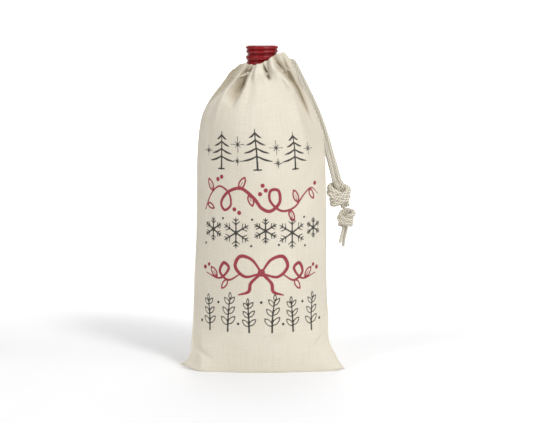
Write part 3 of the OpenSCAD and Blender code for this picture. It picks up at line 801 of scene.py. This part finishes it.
def canvas_material(name, printed):
    m = Nodes(name)
    pat = m.attr("pat", "Vector")
    s = m.sep(pat)
    u, v = s[0], s[1]
    # threads wander a little and vary in thickness
    wob = m.noise(m.vmath("SCALE", pat, scale=90.0), 1.0, 2.0)
    u2 = m.math("MULTIPLY_ADD", wob, 0.00045, u)
    v2 = m.math("MULTIPLY_ADD", m.noise(m.vmath("SCALE", pat, scale=75.0), 1.0, 2.0), 0.00045, v)
    h = weave(m, u2, v2, 0.00066)
    slub_u = m.noise(m.comb(m.math("MULTIPLY", u, 28.0), m.math("MULTIPLY", v, 1500.0)), 1.0, 2.0)
    slub_v = m.noise(m.comb(m.math("MULTIPLY", u, 1500.0), m.math("MULTIPLY", v, 28.0), 3.0), 1.0, 2.0)
    slub = m.math("ADD", m.math("MULTIPLY", slub_u, 0.5), m.math("MULTIPLY", slub_v, 0.5))
    patch = m.noise(m.vmath("SCALE", pat, scale=22.0), 1.0, 3.0)
    c = m.mix(m.ramp(slub, 0.34, 0.66), rgb(222, 214, 198), rgb(236, 230, 216))
    c = m.mix(m.math("MULTIPLY", m.ramp(patch, 0.35, 0.7), 0.22), c, rgb(214, 203, 183))
    # painted shade: the colour darkens where the weave dips between its threads
    c = m.mix(m.math("MULTIPLY", m.math("SUBTRACT", 1.0, h), 0.30), c, rgb(170, 155, 130))
    # painted shade: the colour is darkened in the folds' hollows and behind the folded edges, by the mask built with
    # the creases
    c = m.mix(m.math("MULTIPLY", m.attr("painted_fold_shade"), 0.62), c, m.mix(1.0, c, rgb(196, 186, 168), "MULTIPLY"))
    # seed flecks of raw cotton
    fleck = m.noise(m.vmath("SCALE", pat, scale=620.0), 1.0, 1.0)
    c = m.mix(m.math("MULTIPLY", m.ramp(fleck, 0.735, 0.76), 0.45), c, rgb(150, 124, 88))
    if printed:
        tops = m.math("MULTIPLY_ADD", h, -0.30, 0.12)
        worn = m.math("MULTIPLY_ADD", m.noise(m.vmath("SCALE", pat, scale=420.0), 1.0, 2.0), 0.30, -0.15)
        for key, dark, pale in (("ink_black", rgb(20, 18, 18), rgb(48, 45, 42)), ("ink_red", rgb(142, 18, 46), rgb(160, 44, 68))):
            d = m.math("ADD", m.math("ADD", m.attr(key), tops), worn)
            f = m.ramp(d, 0.18, -0.18)
            c = m.mix(m.math("MULTIPLY", f, 0.94), c, m.mix(m.ramp(slub, 0.35, 0.7), dark, pale))
    m.put(m.bsdf.inputs["Base Color"], c)
    m.put(m.bsdf.inputs["Roughness"], m.math("MULTIPLY_ADD", h, -0.10, 0.95))
    m.bsdf.inputs["Specular IOR Level"].default_value = 0.25
    m.bsdf.inputs["Sheen Weight"].default_value = 0.03
    m.bsdf.inputs["Sheen Roughness"].default_value = 0.5
    hh = m.math("ADD", m.math("MULTIPLY", h, 0.8), m.math("MULTIPLY", slub, 0.9))
    n1 = m.bump(hh, 0.55, 0.00022)
    puck = m.noise(m.vmath("SCALE", pat, scale=160.0), 1.0, 3.0)
    n2 = m.bump(puck, 0.30, 0.0009, n1)
    m.put(m.bsdf.inputs["Normal"], n2)
    return m.mat


CANVAS = canvas_material("printed_canvas", True)
CANVAS_PLAIN = canvas_material("plain_canvas", False)
front.data.materials.append(CANVAS)
back.data.materials.append(CANVAS_PLAIN)


# ------------------------------------------------------------------ seams, hem and stitches
def unit(v):
    return v / np.maximum(np.linalg.norm(v, axis=-1, keepdims=True), 1e-9)


def resample(path, step):
    p = np.array(path, float)
    ext = np.vstack([2 * p[0] - p[1], p, 2 * p[-1] - p[-2]])
    q = []
    for i in range(len(p) - 1):
        p0, p1, p2, p3 = ext[i:i + 4]
        f = np.linspace(0, 1, 24, endpoint=False)[:, None]
        q.append(0.5 * (2 * p1 + (-p0 + p2) * f + (2 * p0 - 5 * p1 + 4 * p2 - p3) * f ** 2
                        + (-p0 + 3 * p1 - 3 * p2 + p3) * f ** 3))
    q = np.vstack(q + [p[-1:]])
    s = np.r_[0, np.cumsum(np.linalg.norm(np.diff(q, axis=0), axis=1))]
    n = max(2, int(round(s[-1] / step)) + 1)
    t = np.linspace(0, s[-1], n)
    return np.stack([np.interp(t, s, q[:, k]) for k in range(3)], 1), t


def braid_height(theta, s, lanes, pitch):
    a = 0.5 * (lanes * theta + 2 * math.pi * s / pitch)
    b = 0.5 * (lanes * theta - 2 * math.pi * s / pitch)
    sa, sb = np.sin(a), np.sin(b)
    o = np.clip(0.5 + sa * sb * 3.0, 0, 1)
    pa, pb = np.abs(sa) ** 0.6, np.abs(sb) ** 0.6
    return o * pa * (0.6 + 0.4 * pb) + (1 - o) * pb * (0.6 + 0.4 * pa)


def rope(name, path, d, around=40, step=0.34, lanes=6, pitch=4.0, relief=0.46, ends=(1.0, 1.0), is_path=False):
    """A braided round cord along path, mm. ends: how full each end is."""
    c, s = (np.array(path, float), None) if is_path else resample(path, step)
    if s is None:
        s = np.r_[0, np.cumsum(np.linalg.norm(np.diff(c, axis=0), axis=1))]
    T = unit(np.gradient(c, axis=0))
    n = np.cross(T[0], [0.3, 1.0, 0.2])
    n /= np.linalg.norm(n)
    N = []
    for t in T:
        n = n - t * (n @ t)
        n = n / np.linalg.norm(n)
        N.append(n)
    N = np.array(N)
    B = np.cross(T, N)
    th = np.linspace(0, 2 * math.pi, around, endpoint=False)
    hgt = braid_height(th[None], s[:, None], lanes, pitch)
    full = np.ones(len(s))
    for e, k in ((ends[0], s), (ends[1], s[-1] - s)):
        if e < 1:
            x = np.clip(k / (d * 0.5), 0, 1)
            full = np.minimum(full, e + (1 - e) * np.sqrt(1 - (1 - x) ** 2))
    r = (d / 2 - 0.62 * relief + relief * hgt) * full[:, None]
    V = c[:, None] + N[:, None] * (r * np.cos(th))[..., None] + B[:, None] * (r * np.sin(th))[..., None]
    nv, nu = len(s), around
    rr = np.arange(nv - 1)[:, None] * nu
    i = np.arange(nu)[None]
    k = (i + 1) % nu
    F = np.stack([rr + i, rr + k, rr + nu + k, rr + nu + i], -1).reshape(-1, 4)
    # end discs as quads would fold, so each end closes on a centre ring
    verts = V.reshape(-1, 3)
    caps, extra, att = [], [], [hgt.reshape(-1)]
    base = len(verts)
    for e, row in ((0, 0), (1, nv - 1)):
        cc = c[row]
        ring = V[row] * 0.02 + cc * 0.98
        extra.append(ring)
        att.append(np.full(nu, 0.6))
        a0, b0 = row * nu, base + e * nu
        for q in range(nu):
            w = (q + 1) % nu
            caps.append((a0 + w, a0 + q, b0 + q, b0 + w) if e == 0 else (a0 + q, a0 + w, b0 + w, b0 + q))
    ob = fast_mesh(name, np.vstack([verts] + extra) / 1000, np.vstack([F, np.array(caps)]))
    set_attr(ob, "braid", np.concatenate(att))
    set_attr(ob, "along", np.concatenate([np.repeat(s, nu), np.zeros(nu), np.full(nu, s[-1])]))
    return ob, c


def thread_run(name, stitches, r):
    """Short threads, each a list of points, as one mesh."""
    Vs, Fs, base = [], [], 0
    for pts in stitches:
        c, s = resample(pts, 0.55)
        T = unit(np.gradient(c, axis=0))
        n = unit(np.cross(T, [0.2, 0.1, 1.0]) + 1e-9)
        b = np.cross(T, n)
        th = np.linspace(0, 2 * math.pi, 8, endpoint=False)
        rr = r * np.sqrt(np.clip(1 - (2 * s / s[-1] - 1) ** 6, 0.02, 1))
        V = c[:, None] + n[:, None] * (rr[:, None] * np.cos(th))[..., None] + b[:, None] * (rr[:, None] * np.sin(th))[..., None]
        k = len(c)
        for j in range(k - 1):
            for i in range(8):
                w = (i + 1) % 8
                Fs.append((base + j * 8 + i, base + j * 8 + w, base + (j + 1) * 8 + w, base + (j + 1) * 8 + i))
        for i in (0, 2, 4):
            Fs.append((base + i, base + i + 1, base + (i + 2) % 8, base + (i + 2) % 8) if False else (base + 0, base + i + 1, base + i + 2, base + (i + 3) % 8) if i < 5 else None)
            e = base + (k - 1) * 8
            Fs.append((e + 0, e + (i + 3) % 8, e + i + 2, e + i + 1))
        Vs.append(V.reshape(-1, 3))
        base += k * 8
    Fs = [f for f in Fs if f is not None and len(set(f)) == 4]
    return fast_mesh(name, np.vstack(Vs) / 1000, np.array(Fs))


def surf_normals(Q, sign):
    du = np.gradient(Q, axis=1)
    dv = np.gradient(Q, axis=0)
    n = unit(np.cross(du, dv))
    flip = np.sign(n[..., 1:2] * sign + 1e-9)
    return n * np.where(flip == 0, 1, flip)


V_STITCH = 307.5


def casing_stitches(name, Q, sign, u_end):
    k = (Q.shape[0] - 1) / H
    row = int(round(V_STITCH * k))
    line = Q[row]
    n = surf_normals(Q[row - 3:row + 4], sign)[3]
    s = np.r_[0, np.cumsum(np.linalg.norm(np.diff(line, axis=0), axis=1))]
    out = []
    a = 1.5
    at = lambda x, lift: np.array([np.interp(x, s, line[:, q] + n[:, q] * lift) for q in range(3)])
    while a + 2.6 < s[-1] - u_end:
        out.append([at(a, 0.0), at(a + 0.5, 0.16), at(a + 1.3, 0.2), at(a + 2.1, 0.16), at(a + 2.6, 0.0)])
        a += 3.1
    return thread_run(name, out, 0.24)


def hem(name, Q, U, lo, hi, which):
    """The turned-in hem: from the rim down inside round the neck to its stitched row."""
    k = (Q.shape[0] - 1) / H
    row = int(round(V_STITCH * k))
    cols = [i for i in range(Q.shape[1]) if lo <= (U[0, i]) <= hi]
    rim, low = Q[-1, cols], Q[row, cols]
    d = unit(np.column_stack([rim[:, 0], rim[:, 1] * 1.0, 0 * rim[:, 0]]))
    r_rim = np.hypot(rim[:, 0], rim[:, 1])
    r1 = np.minimum(r_rim - 0.7, np.maximum(16.1, r_rim - 3.0))
    A = rim + d * -0.35 + [0, 0, -0.2]
    Bp = d * r1[:, None] + np.column_stack([0 * r1, 0 * r1, rim[:, 2] - 2.4])
    r2 = np.minimum(r1, 16.4 + 0.15 * (r_rim - 16))
    C = d * r2[:, None] + np.column_stack([0 * r1, 0 * r1, rim[:, 2] - 8.5])
    dl = unit(np.column_stack([low[:, 0], low[:, 1], 0 * low[:, 0]]))
    E = low - dl * 1.3
    Dm = 0.5 * (C + E) - d * 0.8
    rows = []
    P = [A, Bp, C, Dm, E]
    ext = [2 * P[0] - P[1]] + P + [2 * P[-1] - P[-2]]
    for i in range(4):
        for f in np.linspace(0, 1, 6, endpoint=False):
            p0, p1, p2, p3 = ext[i:i + 4]
            rows.append(0.5 * (2 * p1 + (-p0 + p2) * f + (2 * p0 - 5 * p1 + 4 * p2 - p3) * f ** 2 + (-p0 + 3 * p1 - 3 * p2 + p3) * f ** 3))
    rows.append(E)
    G = np.stack(rows)
    ob = fast_mesh(name, G.reshape(-1, 3) / 1000, grid_faces(*G.shape[:2]))
    v = np.linspace(0, 21, G.shape[0])[:, None] * np.ones((1, len(cols)))
    u = U[0, cols][None] * np.ones((G.shape[0], 1))
    set_attr(ob, "pat", np.stack([u, v + 400, 0 * u], -1).reshape(-1, 3) / 1000, "FLOAT_VECTOR")
    thicken(ob, 0.0006, 0.0)
    ob.data.materials.append(CANVAS_PLAIN)
    return ob


front_hem = hem("front_casing_hem_turned", QF, UF, 0.5, W - 15, "front")
back_hem = hem("back_casing_hem_turned", QB, UB, 0.5, W - 19, "back")
f_st = casing_stitches("front_casing_stitching", QF, -1.0, 8.0)
b_st = casing_stitches("back_casing_stitching", QB[:, ::-1], 1.0, 22.0)


def seam_roll(name, pts, r):
    """The folded edge that closes a seam."""
    c, s = resample(pts, 1.2)
    T = unit(np.gradient(c, axis=0))
    n = unit(np.cross(T, [0.0, 1.0, 0.001]))
    b = np.cross(T, n)
    th = np.linspace(0, 2 * math.pi, 10, endpoint=False)
    rr = r * (1 + 0.10 * np.sin(s * 1.9) + 0.06 * np.sin(s * 0.71 + 1))
    V = c[:, None] + n[:, None] * (rr[:, None] * np.cos(th))[..., None] + b[:, None] * (1.0 * rr[:, None] * np.sin(th))[..., None]
    nv, nu = len(s), 10
    R = np.arange(nv - 1)[:, None] * nu
    i = np.arange(nu)[None]
    k = (i + 1) % nu
    F = np.stack([R + i, R + k, R + nu + k, R + nu + i], -1).reshape(-1, 4)
    F = np.vstack([F, [(0, 1, 2, 3), (0, 3, 4, 5), (0, 5, 6, 7), (0, 7, 8, 9)],
                   np.array([(3, 2, 1, 0), (5, 4, 3, 0), (7, 6, 5, 0), (9, 8, 7, 0)]) + (nv - 1) * nu])
    ob = fast_mesh(name, V.reshape(-1, 3) / 1000, F)
    a = th / (2 * math.pi) * 2 * math.pi * r
    set_attr(ob, "pat", np.stack([np.tile(a, nv), np.repeat(s, nu), np.zeros(nv * nu)], -1) / 1000, "FLOAT_VECTOR")
    ob.data.materials.append(CANVAS_PLAIN)
    return ob


left_seam = seam_roll("left_side_seam", BASE[0:NV:4, 0], 0.75)
right_seam = seam_roll("right_side_seam", BASE[0:NV - 12:4, HALF], 0.75)
bottom_row = 0.5 * (BASE[0, :HALF + 1] + np.concatenate([BASE[0, HALF:], BASE[0, :1]])[::-1])
bottom_seam = seam_roll("bottom_seam", bottom_row[::3], 0.8)
bs = []
q = 2.0
Lb = np.r_[0, np.cumsum(np.linalg.norm(np.diff(bottom_row, axis=0), axis=1))]
bat = lambda x, dy, dz: np.array([np.interp(x, Lb, bottom_row[:, 0]), np.interp(x, Lb, bottom_row[:, 1]) + dy, np.interp(x, Lb, bottom_row[:, 2]) + dz])
while q + 2.6 < Lb[-1] - 2:
    bs.append([bat(q, -0.75, 0.75), bat(q + 0.8, -0.95, 0.8), bat(q + 1.6, -0.95, 0.8), bat(q + 2.4, -0.75, 0.75)])
    q += 3.2
bottom_st = thread_run("bottom_seam_stitching", bs, 0.22)

m = Nodes("spun_thread")
co = m.coord()
tw = m.noise(m.vmath("SCALE", co, scale=3200.0), 1.0, 2.0)
m.put(m.bsdf.inputs["Base Color"], m.mix(tw, rgb(214, 203, 182), rgb(243, 237, 224)))
m.put(m.bsdf.inputs["Roughness"], m.math("MULTIPLY_ADD", tw, 0.2, 0.6))
m.put(m.bsdf.inputs["Normal"], m.bump(tw, 0.5, 0.0001))
THREAD = m.mat
for o in (f_st, b_st, bottom_st):
    o.data.materials.append(THREAD)

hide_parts("front_panel")
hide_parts("back_panel")
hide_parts("front_casing_hem")
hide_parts("back_casing_hem")
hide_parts("left_seam_allowance")
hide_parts("right_seam_allowance")
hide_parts("bottom_seam_allowance")
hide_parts("front_casing_stitches")
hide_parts("back_casing_stitches")
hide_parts("bottom_seam_stitches")
for o in (front, back, front_hem, back_hem, left_seam, right_seam, bottom_seam):
    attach(o, "bag")
for o in (f_st, b_st, bottom_st):
    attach(o, "bag")


# ------------------------------------------------------------------ the drawstring
def cord_material():
    m = Nodes("braided_cotton")
    b = m.attr("braid")
    co = m.coord()
    fib = m.noise(m.vmath("SCALE", co, scale=2600.0), 1.0, 3.0)
    big = m.noise(m.vmath("SCALE", co, scale=140.0), 1.0, 3.0)
    # painted shade: the cord's colour goes dark down in the gaps between the braid's strands
    c = m.mix(m.ramp(b, 0.32, 0.78), rgb(62, 53, 40), rgb(232, 225, 210))
    c = m.mix(m.math("MULTIPLY", m.ramp(big, 0.4, 0.7), 0.35), c, rgb(204, 192, 168))
    c = m.mix(m.math("MULTIPLY", m.ramp(fib, 0.35, 0.7), 0.14), c, rgb(243, 238, 226))
    m.put(m.bsdf.inputs["Base Color"], c)
    m.put(m.bsdf.inputs["Roughness"], m.math("MULTIPLY_ADD", fib, 0.15, 0.78))
    m.bsdf.inputs["Specular IOR Level"].default_value = 0.25
    m.bsdf.inputs["Sheen Weight"].default_value = 0.15
    m.put(m.bsdf.inputs["Normal"], m.bump(fib, 0.5, 0.00012))
    return m.mat


CORD = cord_material()
D = 4.4
EXIT_Y = 5.4
ROUTE = [[29.9, 286.5], [31.1, 284.1], [32.3, 281.7], [33.6, 279.1], [38.4, 269.5], [43.2, 259.8], [48.0, 249.4], [52.6, 238.2],
         [56.8, 226.6], [60.4, 215.2], [63.6, 203.8], [66.4, 194.3], [69.0, 184.8], [71.3, 176.0]]


def strand(s):
    P = np.array(ROUTE)
    t = unit(np.vstack([P[1] - P[0], P[2:] - P[:-2], P[-1] - P[-2]]))
    out = []
    for k, (p, tt) in enumerate(zip(P, t)):
        f = min(1.0, max(0.0, (k - 3) / 10))
        b = (1.55 + (2.3 - 1.55) * f) * s
        out.append([p[0] - tt[1] * b, EXIT_Y + (1.65 + (0.4 - 1.65) * f) * s, p[1] + tt[0] * b])
    return np.array(out)


def bend_end(s):
    e = strand(s)[0]
    t = np.array([0.447, 0, -0.894])
    c = e - 1.2 * t - 4.5 * np.array([0.894, 0, 0.447])
    out = []
    for k, a in enumerate((0, 25, 50, 75, 100)):
        q = math.radians(26.57 + a)
        out.append([c[0] + 4.5 * math.cos(q), e[1] - (1 if s < 0 else 0.2) * [0, 0.1, 0.7, 2.2, 4.6][k], c[2] + 4.5 * math.sin(q)])
    return out        # from the lead inwards


T0 = np.array([0.447, 0, -0.894])
ring = [[19.1 * math.cos(math.radians(a)), 19.1 * math.sin(math.radians(a)), 279.0] for a in range(-44, -321, -12)]
run_path = ([list(strand(-1)[0] - 0.05 * T0)] + bend_end(-1) + [[19.4, -6.2, 284.6], [17.0, -9.9, 281.6]] + ring
            + [[16.6, 12.0, 282.4], [19.6, 10.2, 286.6]] + bend_end(1)[::-1] + [list(strand(1)[0] - 0.05 * T0)])
casing_run, _ = rope("cord_in_casing", run_path, D - 0.1, around=32, step=0.5)
casing_run.data.materials.append(CORD)
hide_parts("casing_cord")
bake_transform(casing_run)

strands = {}
for key, s in (("front", -1), ("back", 1)):
    ob, line = rope(key + "_cord_strand", strand(s), D)
    ob.data.materials.append(CORD)
    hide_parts(key + "_cord_lead", key + "_cord")
    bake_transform(ob)
    strands[key] = (ob, line)

KNOT = np.array([(0.6, 0.3, 14.0), (1.2, 1.6, 9.0), (0.8, 3.2, 3.0), (-3.2, 4.6, -3.2), (-8.2, 1.6, -5.6), (-6.2, -4.6, -5.6),
                 (0.8, -6.6, -4.0), (7.2, -4.2, -1.6), (8.7, 1.4, 1.6), (4.6, 5.8, 5.2), (-3.2, 5.6, 7.8), (-8.6, 0.4, 7.2),
                 (-6.6, -5.0, 3.2), (-1.2, -3.6, -0.6), (2.6, 0.6, -5.4), (3.6, 0.6, -9.5), (4.2, 0.2, -13.6)], float)


def knot(name, centre, tilt, scale, d, mirror, exit_shift=0.0, gap=0.94):
    """Both strands tied together in one overhand knot."""
    K = KNOT.copy() * [mirror, 1, 1] * scale
    K[-2:, 0] += exit_shift
    c, s = resample(K, 0.42)
    T = unit(np.gradient(c, axis=0))
    z = np.array([0, 0, 1.0])
    x = np.array([1.0, 0.25, 0])
    w = np.abs(T[:, 2:3]) ** 2
    n = unit((z - T * (T @ z)[:, None]) * (1 - w) + (x - T * (T @ x)[:, None]) * w)
    for _ in range(8):
        n[1:-1] = unit(0.5 * n[1:-1] + 0.25 * (n[2:] + n[:-2]))
    a = math.radians(tilt)
    R = np.array([[math.cos(a), 0, math.sin(a)], [0, 1, 0], [-math.sin(a), 0, math.cos(a)]])
    obs = []
    for k in (-1, 1):
        p = (c + n * (0.5 * d * gap * k)) @ R.T + centre
        ob, _ = rope("%s_%s" % (name, "first" if k < 0 else "second"), p, d, around=32, step=0.42, ends=(0.5, 0.5), is_path=True)
        obs.append(ob)
    # the two strands of one knot are one piece
    bpy.ops.object.select_all(action="DESELECT")
    for o in obs:
        o.select_set(True)
    bpy.context.view_layer.objects.active = obs[0]
    bpy.ops.object.join()
    obs[0].name = name
    obs[0].data.name = name
    obs[0].data.materials.append(CORD)
    return obs[0]


kn1 = knot("upper_overhand_knot", np.array([73.6, 5.4, 163.2]), -10, 0.95, 5.3, 1, gap=0.80)
kn2 = knot("lower_overhand_knot", np.array([80.0, 5.4, 141.0]), 8, 0.68, 4.2, -1, exit_shift=-0.5, gap=0.80)
tails = []
for key, P, cad in (("front", [[77.9, 4.4, 133.5], [77.3, 4.1, 130.2], [76.4, 3.9, 126.6], [75.2, 3.7, 121.6], [74.2, 3.6, 117.4]], "front_cord_tail"),
                    ("back", [[80.6, 6.2, 133.5], [80.4, 6.5, 130.6], [79.3, 6.7, 125.6], [78.2, 6.8, 119.8], [77.3, 6.8, 113.6]], "back_cord_tail")):
    t, _ = rope(key + "_frayed_tail", P, 2.9, around=28, step=0.36, lanes=5, pitch=2.6, relief=0.3, ends=(0.8, 0.85))
    t.data.materials.append(CORD)
    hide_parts(cad)
    tails.append(t)
# loose fibres at the cut ends
rng = np.random.default_rng(5)
for key, tip in (("front", np.array([74.2, 3.6, 117.4])), ("back", np.array([77.3, 6.8, 113.6]))):
    fs = []
    for k in range(16):
        a, r = rng.uniform(0, 2 * math.pi), 1.15 * math.sqrt(rng.uniform(0, 1))
        p0 = tip + [r * math.cos(a), r * math.sin(a), 0.8]
        out = np.array([math.cos(a), math.sin(a), 0]) * rng.uniform(0.1, 0.55)
        L = rng.uniform(0.9, 2.1)
        fs.append([p0, p0 + out * 0.5 - [0.1, 0, 0.5 * L], p0 + out * 1.4 - [0.25, 0, L]])
    t = thread_run(key + "_tail_fibres", fs, 0.13)
    t.data.materials.append(CORD)
    set_attr(t, "braid", np.full(len(t.data.vertices), 0.9))
    tails.append(t)
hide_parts("upper_knot")
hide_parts("lower_knot")
for o in [kn1, kn2] + tails:
    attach(o, "hanging_cord")
for key in ("front", "back"):
    ob, line = strands[key]
    L = float(np.linalg.norm(np.diff(line, axis=0), axis=1).sum()) / 1000


# ------------------------------------------------------------------ cap, liner, glass and wine
def lathe(name, prof, n=96, wave=0.0):
    """prof: (radius, height) in mm, closed on the axis at both ends where radius is 0."""
    prof = [(max(r, 0.02), z) for r, z in prof]
    th = np.linspace(0, 2 * math.pi, n, endpoint=False)
    V = []
    for r, z in prof:
        dz = wave * np.sin(th + 0.6) * (1 if 287.5 < z < 303.2 and r > 13.7 else 0)
        V.append(np.stack([r * np.cos(th), r * np.sin(th), z + dz], -1))
    V = np.array(V)
    k = len(prof)
    R = np.arange(k - 1)[:, None] * n
    i = np.arange(n)[None]
    j = (i + 1) % n
    F = np.stack([R + i, R + j, R + n + j, R + n + i], -1).reshape(-1, 4)
    return fast_mesh(name, V.reshape(-1, 3) / 1000, F)


def smooth_prof(pts, step=0.25):
    c, _ = resample([(r, 0, z) for r, z in pts], step)
    return [(p[0], p[2]) for p in c]


lo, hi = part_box("screw_cap")
z0, z1 = lo.z * 1000, hi.z * 1000
outer = smooth_prof([(14.55, z0), (15.0, z0 + 0.5), (15.2, z0 + 1.6), (14.9, 290.0), (14.0, 290.9), (14.55, 291.7), (15.3, 292.8), (15.5, 294.2),
                     (15.3, 295.5), (14.4, 296.6), (13.82, 297.35), (14.4, 298.1), (15.1, 298.9), (15.3, 299.9), (15.05, 300.9), (14.3, 301.5),
                     (14.9, 302.1), (15.7, 302.8), (15.6, 303.9), (14.9, 304.8), (13.6, 305.5), (11.8, 305.8)], 0.22)
top = [(10.5, 305.86), (8.0, 305.8), (4.0, 305.75), (0, 305.75)]
inner = [(0, z1 - 1.1), (12.6, z1 - 1.1), (13.3, z1 - 1.5), (13.6, z1 - 2.3), (13.6, z0 + 0.4), (13.9, z0), (14.55, z0)]
cap = lathe("red_screw_cap", outer + top, 128, wave=0.32)
cap_in = lathe("red_screw_cap_inside", inner, 96)
lo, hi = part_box("cap_skirt")
s0, s1 = lo.z * 1000, hi.z * 1000
sr = 1000 * hi.x
skirt = lathe("red_cap_skirt", smooth_prof([(sr - 0.9, s0), (sr - 0.15, s0 + 0.1), (sr - 0.05, s0 + 1.0), (sr - 0.1, s0 + 3.0), (sr - 0.5, s0 + 3.6), (sr - 0.1, s0 + 4.2),
                                            (sr - 0.05, s1 - 1.4), (sr - 0.35, s1 - 0.5), (sr - 0.8, s1)], 0.4), 96)
th = skirt.modifiers.new("wall", "SOLIDIFY")
th.thickness = 0.0004
th.offset = -1.0

m = Nodes("red_gloss")
co = m.coord()
big = m.noise(m.vmath("SCALE", co, scale=210.0), 1.0, 3.0)
fine = m.noise(m.vmath("SCALE", co, scale=1500.0), 1.0, 3.0)
c = m.mix(big, rgb(118, 6, 12), rgb(146, 16, 24))
c = m.mix(m.math("MULTIPLY", m.ramp(fine, 0.62, 0.74), 0.4), c, rgb(164, 40, 44))
# painted shade: the cap is darkened where its radius is small, down in the thread grooves and on the inner walls
xyz = m.sep(co)
rad = m.math("SQRT", m.math("ADD", m.math("MULTIPLY", xyz[0], xyz[0]), m.math("MULTIPLY", xyz[1], xyz[1])))
c = m.mix(m.math("MULTIPLY", m.ramp(rad, 0.0146, 0.0138), 0.75), c, rgb(62, 2, 6))
m.put(m.bsdf.inputs["Base Color"], c)
m.put(m.bsdf.inputs["Roughness"], m.math("MULTIPLY_ADD", fine, 0.08, 0.12))
m.bsdf.inputs["Coat Weight"].default_value = 0.10
m.bsdf.inputs["Specular IOR Level"].default_value = 0.36
m.bsdf.inputs["Coat Roughness"].default_value = 0.10
m.put(m.bsdf.inputs["Normal"], m.bump(big, 0.25, 0.0006, m.bump(fine, 0.15, 0.0001)))
RED = m.mat
for o in (cap, cap_in, skirt):
    o.data.materials.append(RED)
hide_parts("screw_cap")
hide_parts("cap_skirt")
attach(cap, "cap")
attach(cap_in, "cap")
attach(skirt, "bottle")


def paint(node, mat):
    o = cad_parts[node]
    if not o.material_slots:
        o.data.materials.append(mat)
    for s in o.material_slots:
        s.material = mat


m = Nodes("dark_green_glass")
co = m.coord()
n = m.noise(m.vmath("SCALE", co, scale=30.0), 1.0, 3.0)
seeds = m.noise(m.vmath("SCALE", co, scale=900.0), 1.0, 1.0)
m.put(m.bsdf.inputs["Base Color"], m.mix(n, rgb(62, 84, 42), rgb(82, 104, 54)))
m.put(m.bsdf.inputs["Roughness"], m.math("MULTIPLY_ADD", n, 0.05, 0.03))
m.bsdf.inputs["Transmission Weight"].default_value = 0.85
m.bsdf.inputs["IOR"].default_value = 1.5
m.put(m.bsdf.inputs["Normal"], m.bump(n, 0.12, 0.0015, m.bump(m.ramp(seeds, 0.72, 0.78), 0.1, 0.0001)))
paint("bottle_glass", m.mat)

m = Nodes("red_wine")
co = m.coord()
n = m.noise(m.vmath("SCALE", co, scale=12.0), 1.0, 2.0)
m.put(m.bsdf.inputs["Base Color"], m.mix(n, rgb(60, 6, 16), rgb(82, 12, 24)))
m.put(m.bsdf.inputs["Roughness"], m.math("MULTIPLY_ADD", n, 0.03, 0.04))
m.bsdf.inputs["IOR"].default_value = 1.34
paint("wine", m.mat)

m = Nodes("liner_foam")
co = m.coord()
n = m.noise(m.vmath("SCALE", co, scale=1300.0), 1.0, 3.0)
m.put(m.bsdf.inputs["Base Color"], m.mix(n, rgb(208, 205, 196), rgb(236, 233, 226)))
m.put(m.bsdf.inputs["Roughness"], m.math("MULTIPLY_ADD", n, 0.2, 0.6))
m.put(m.bsdf.inputs["Normal"], m.bump(n, 0.3, 0.0002))
paint("cap_liner", m.mat)

build_stage()
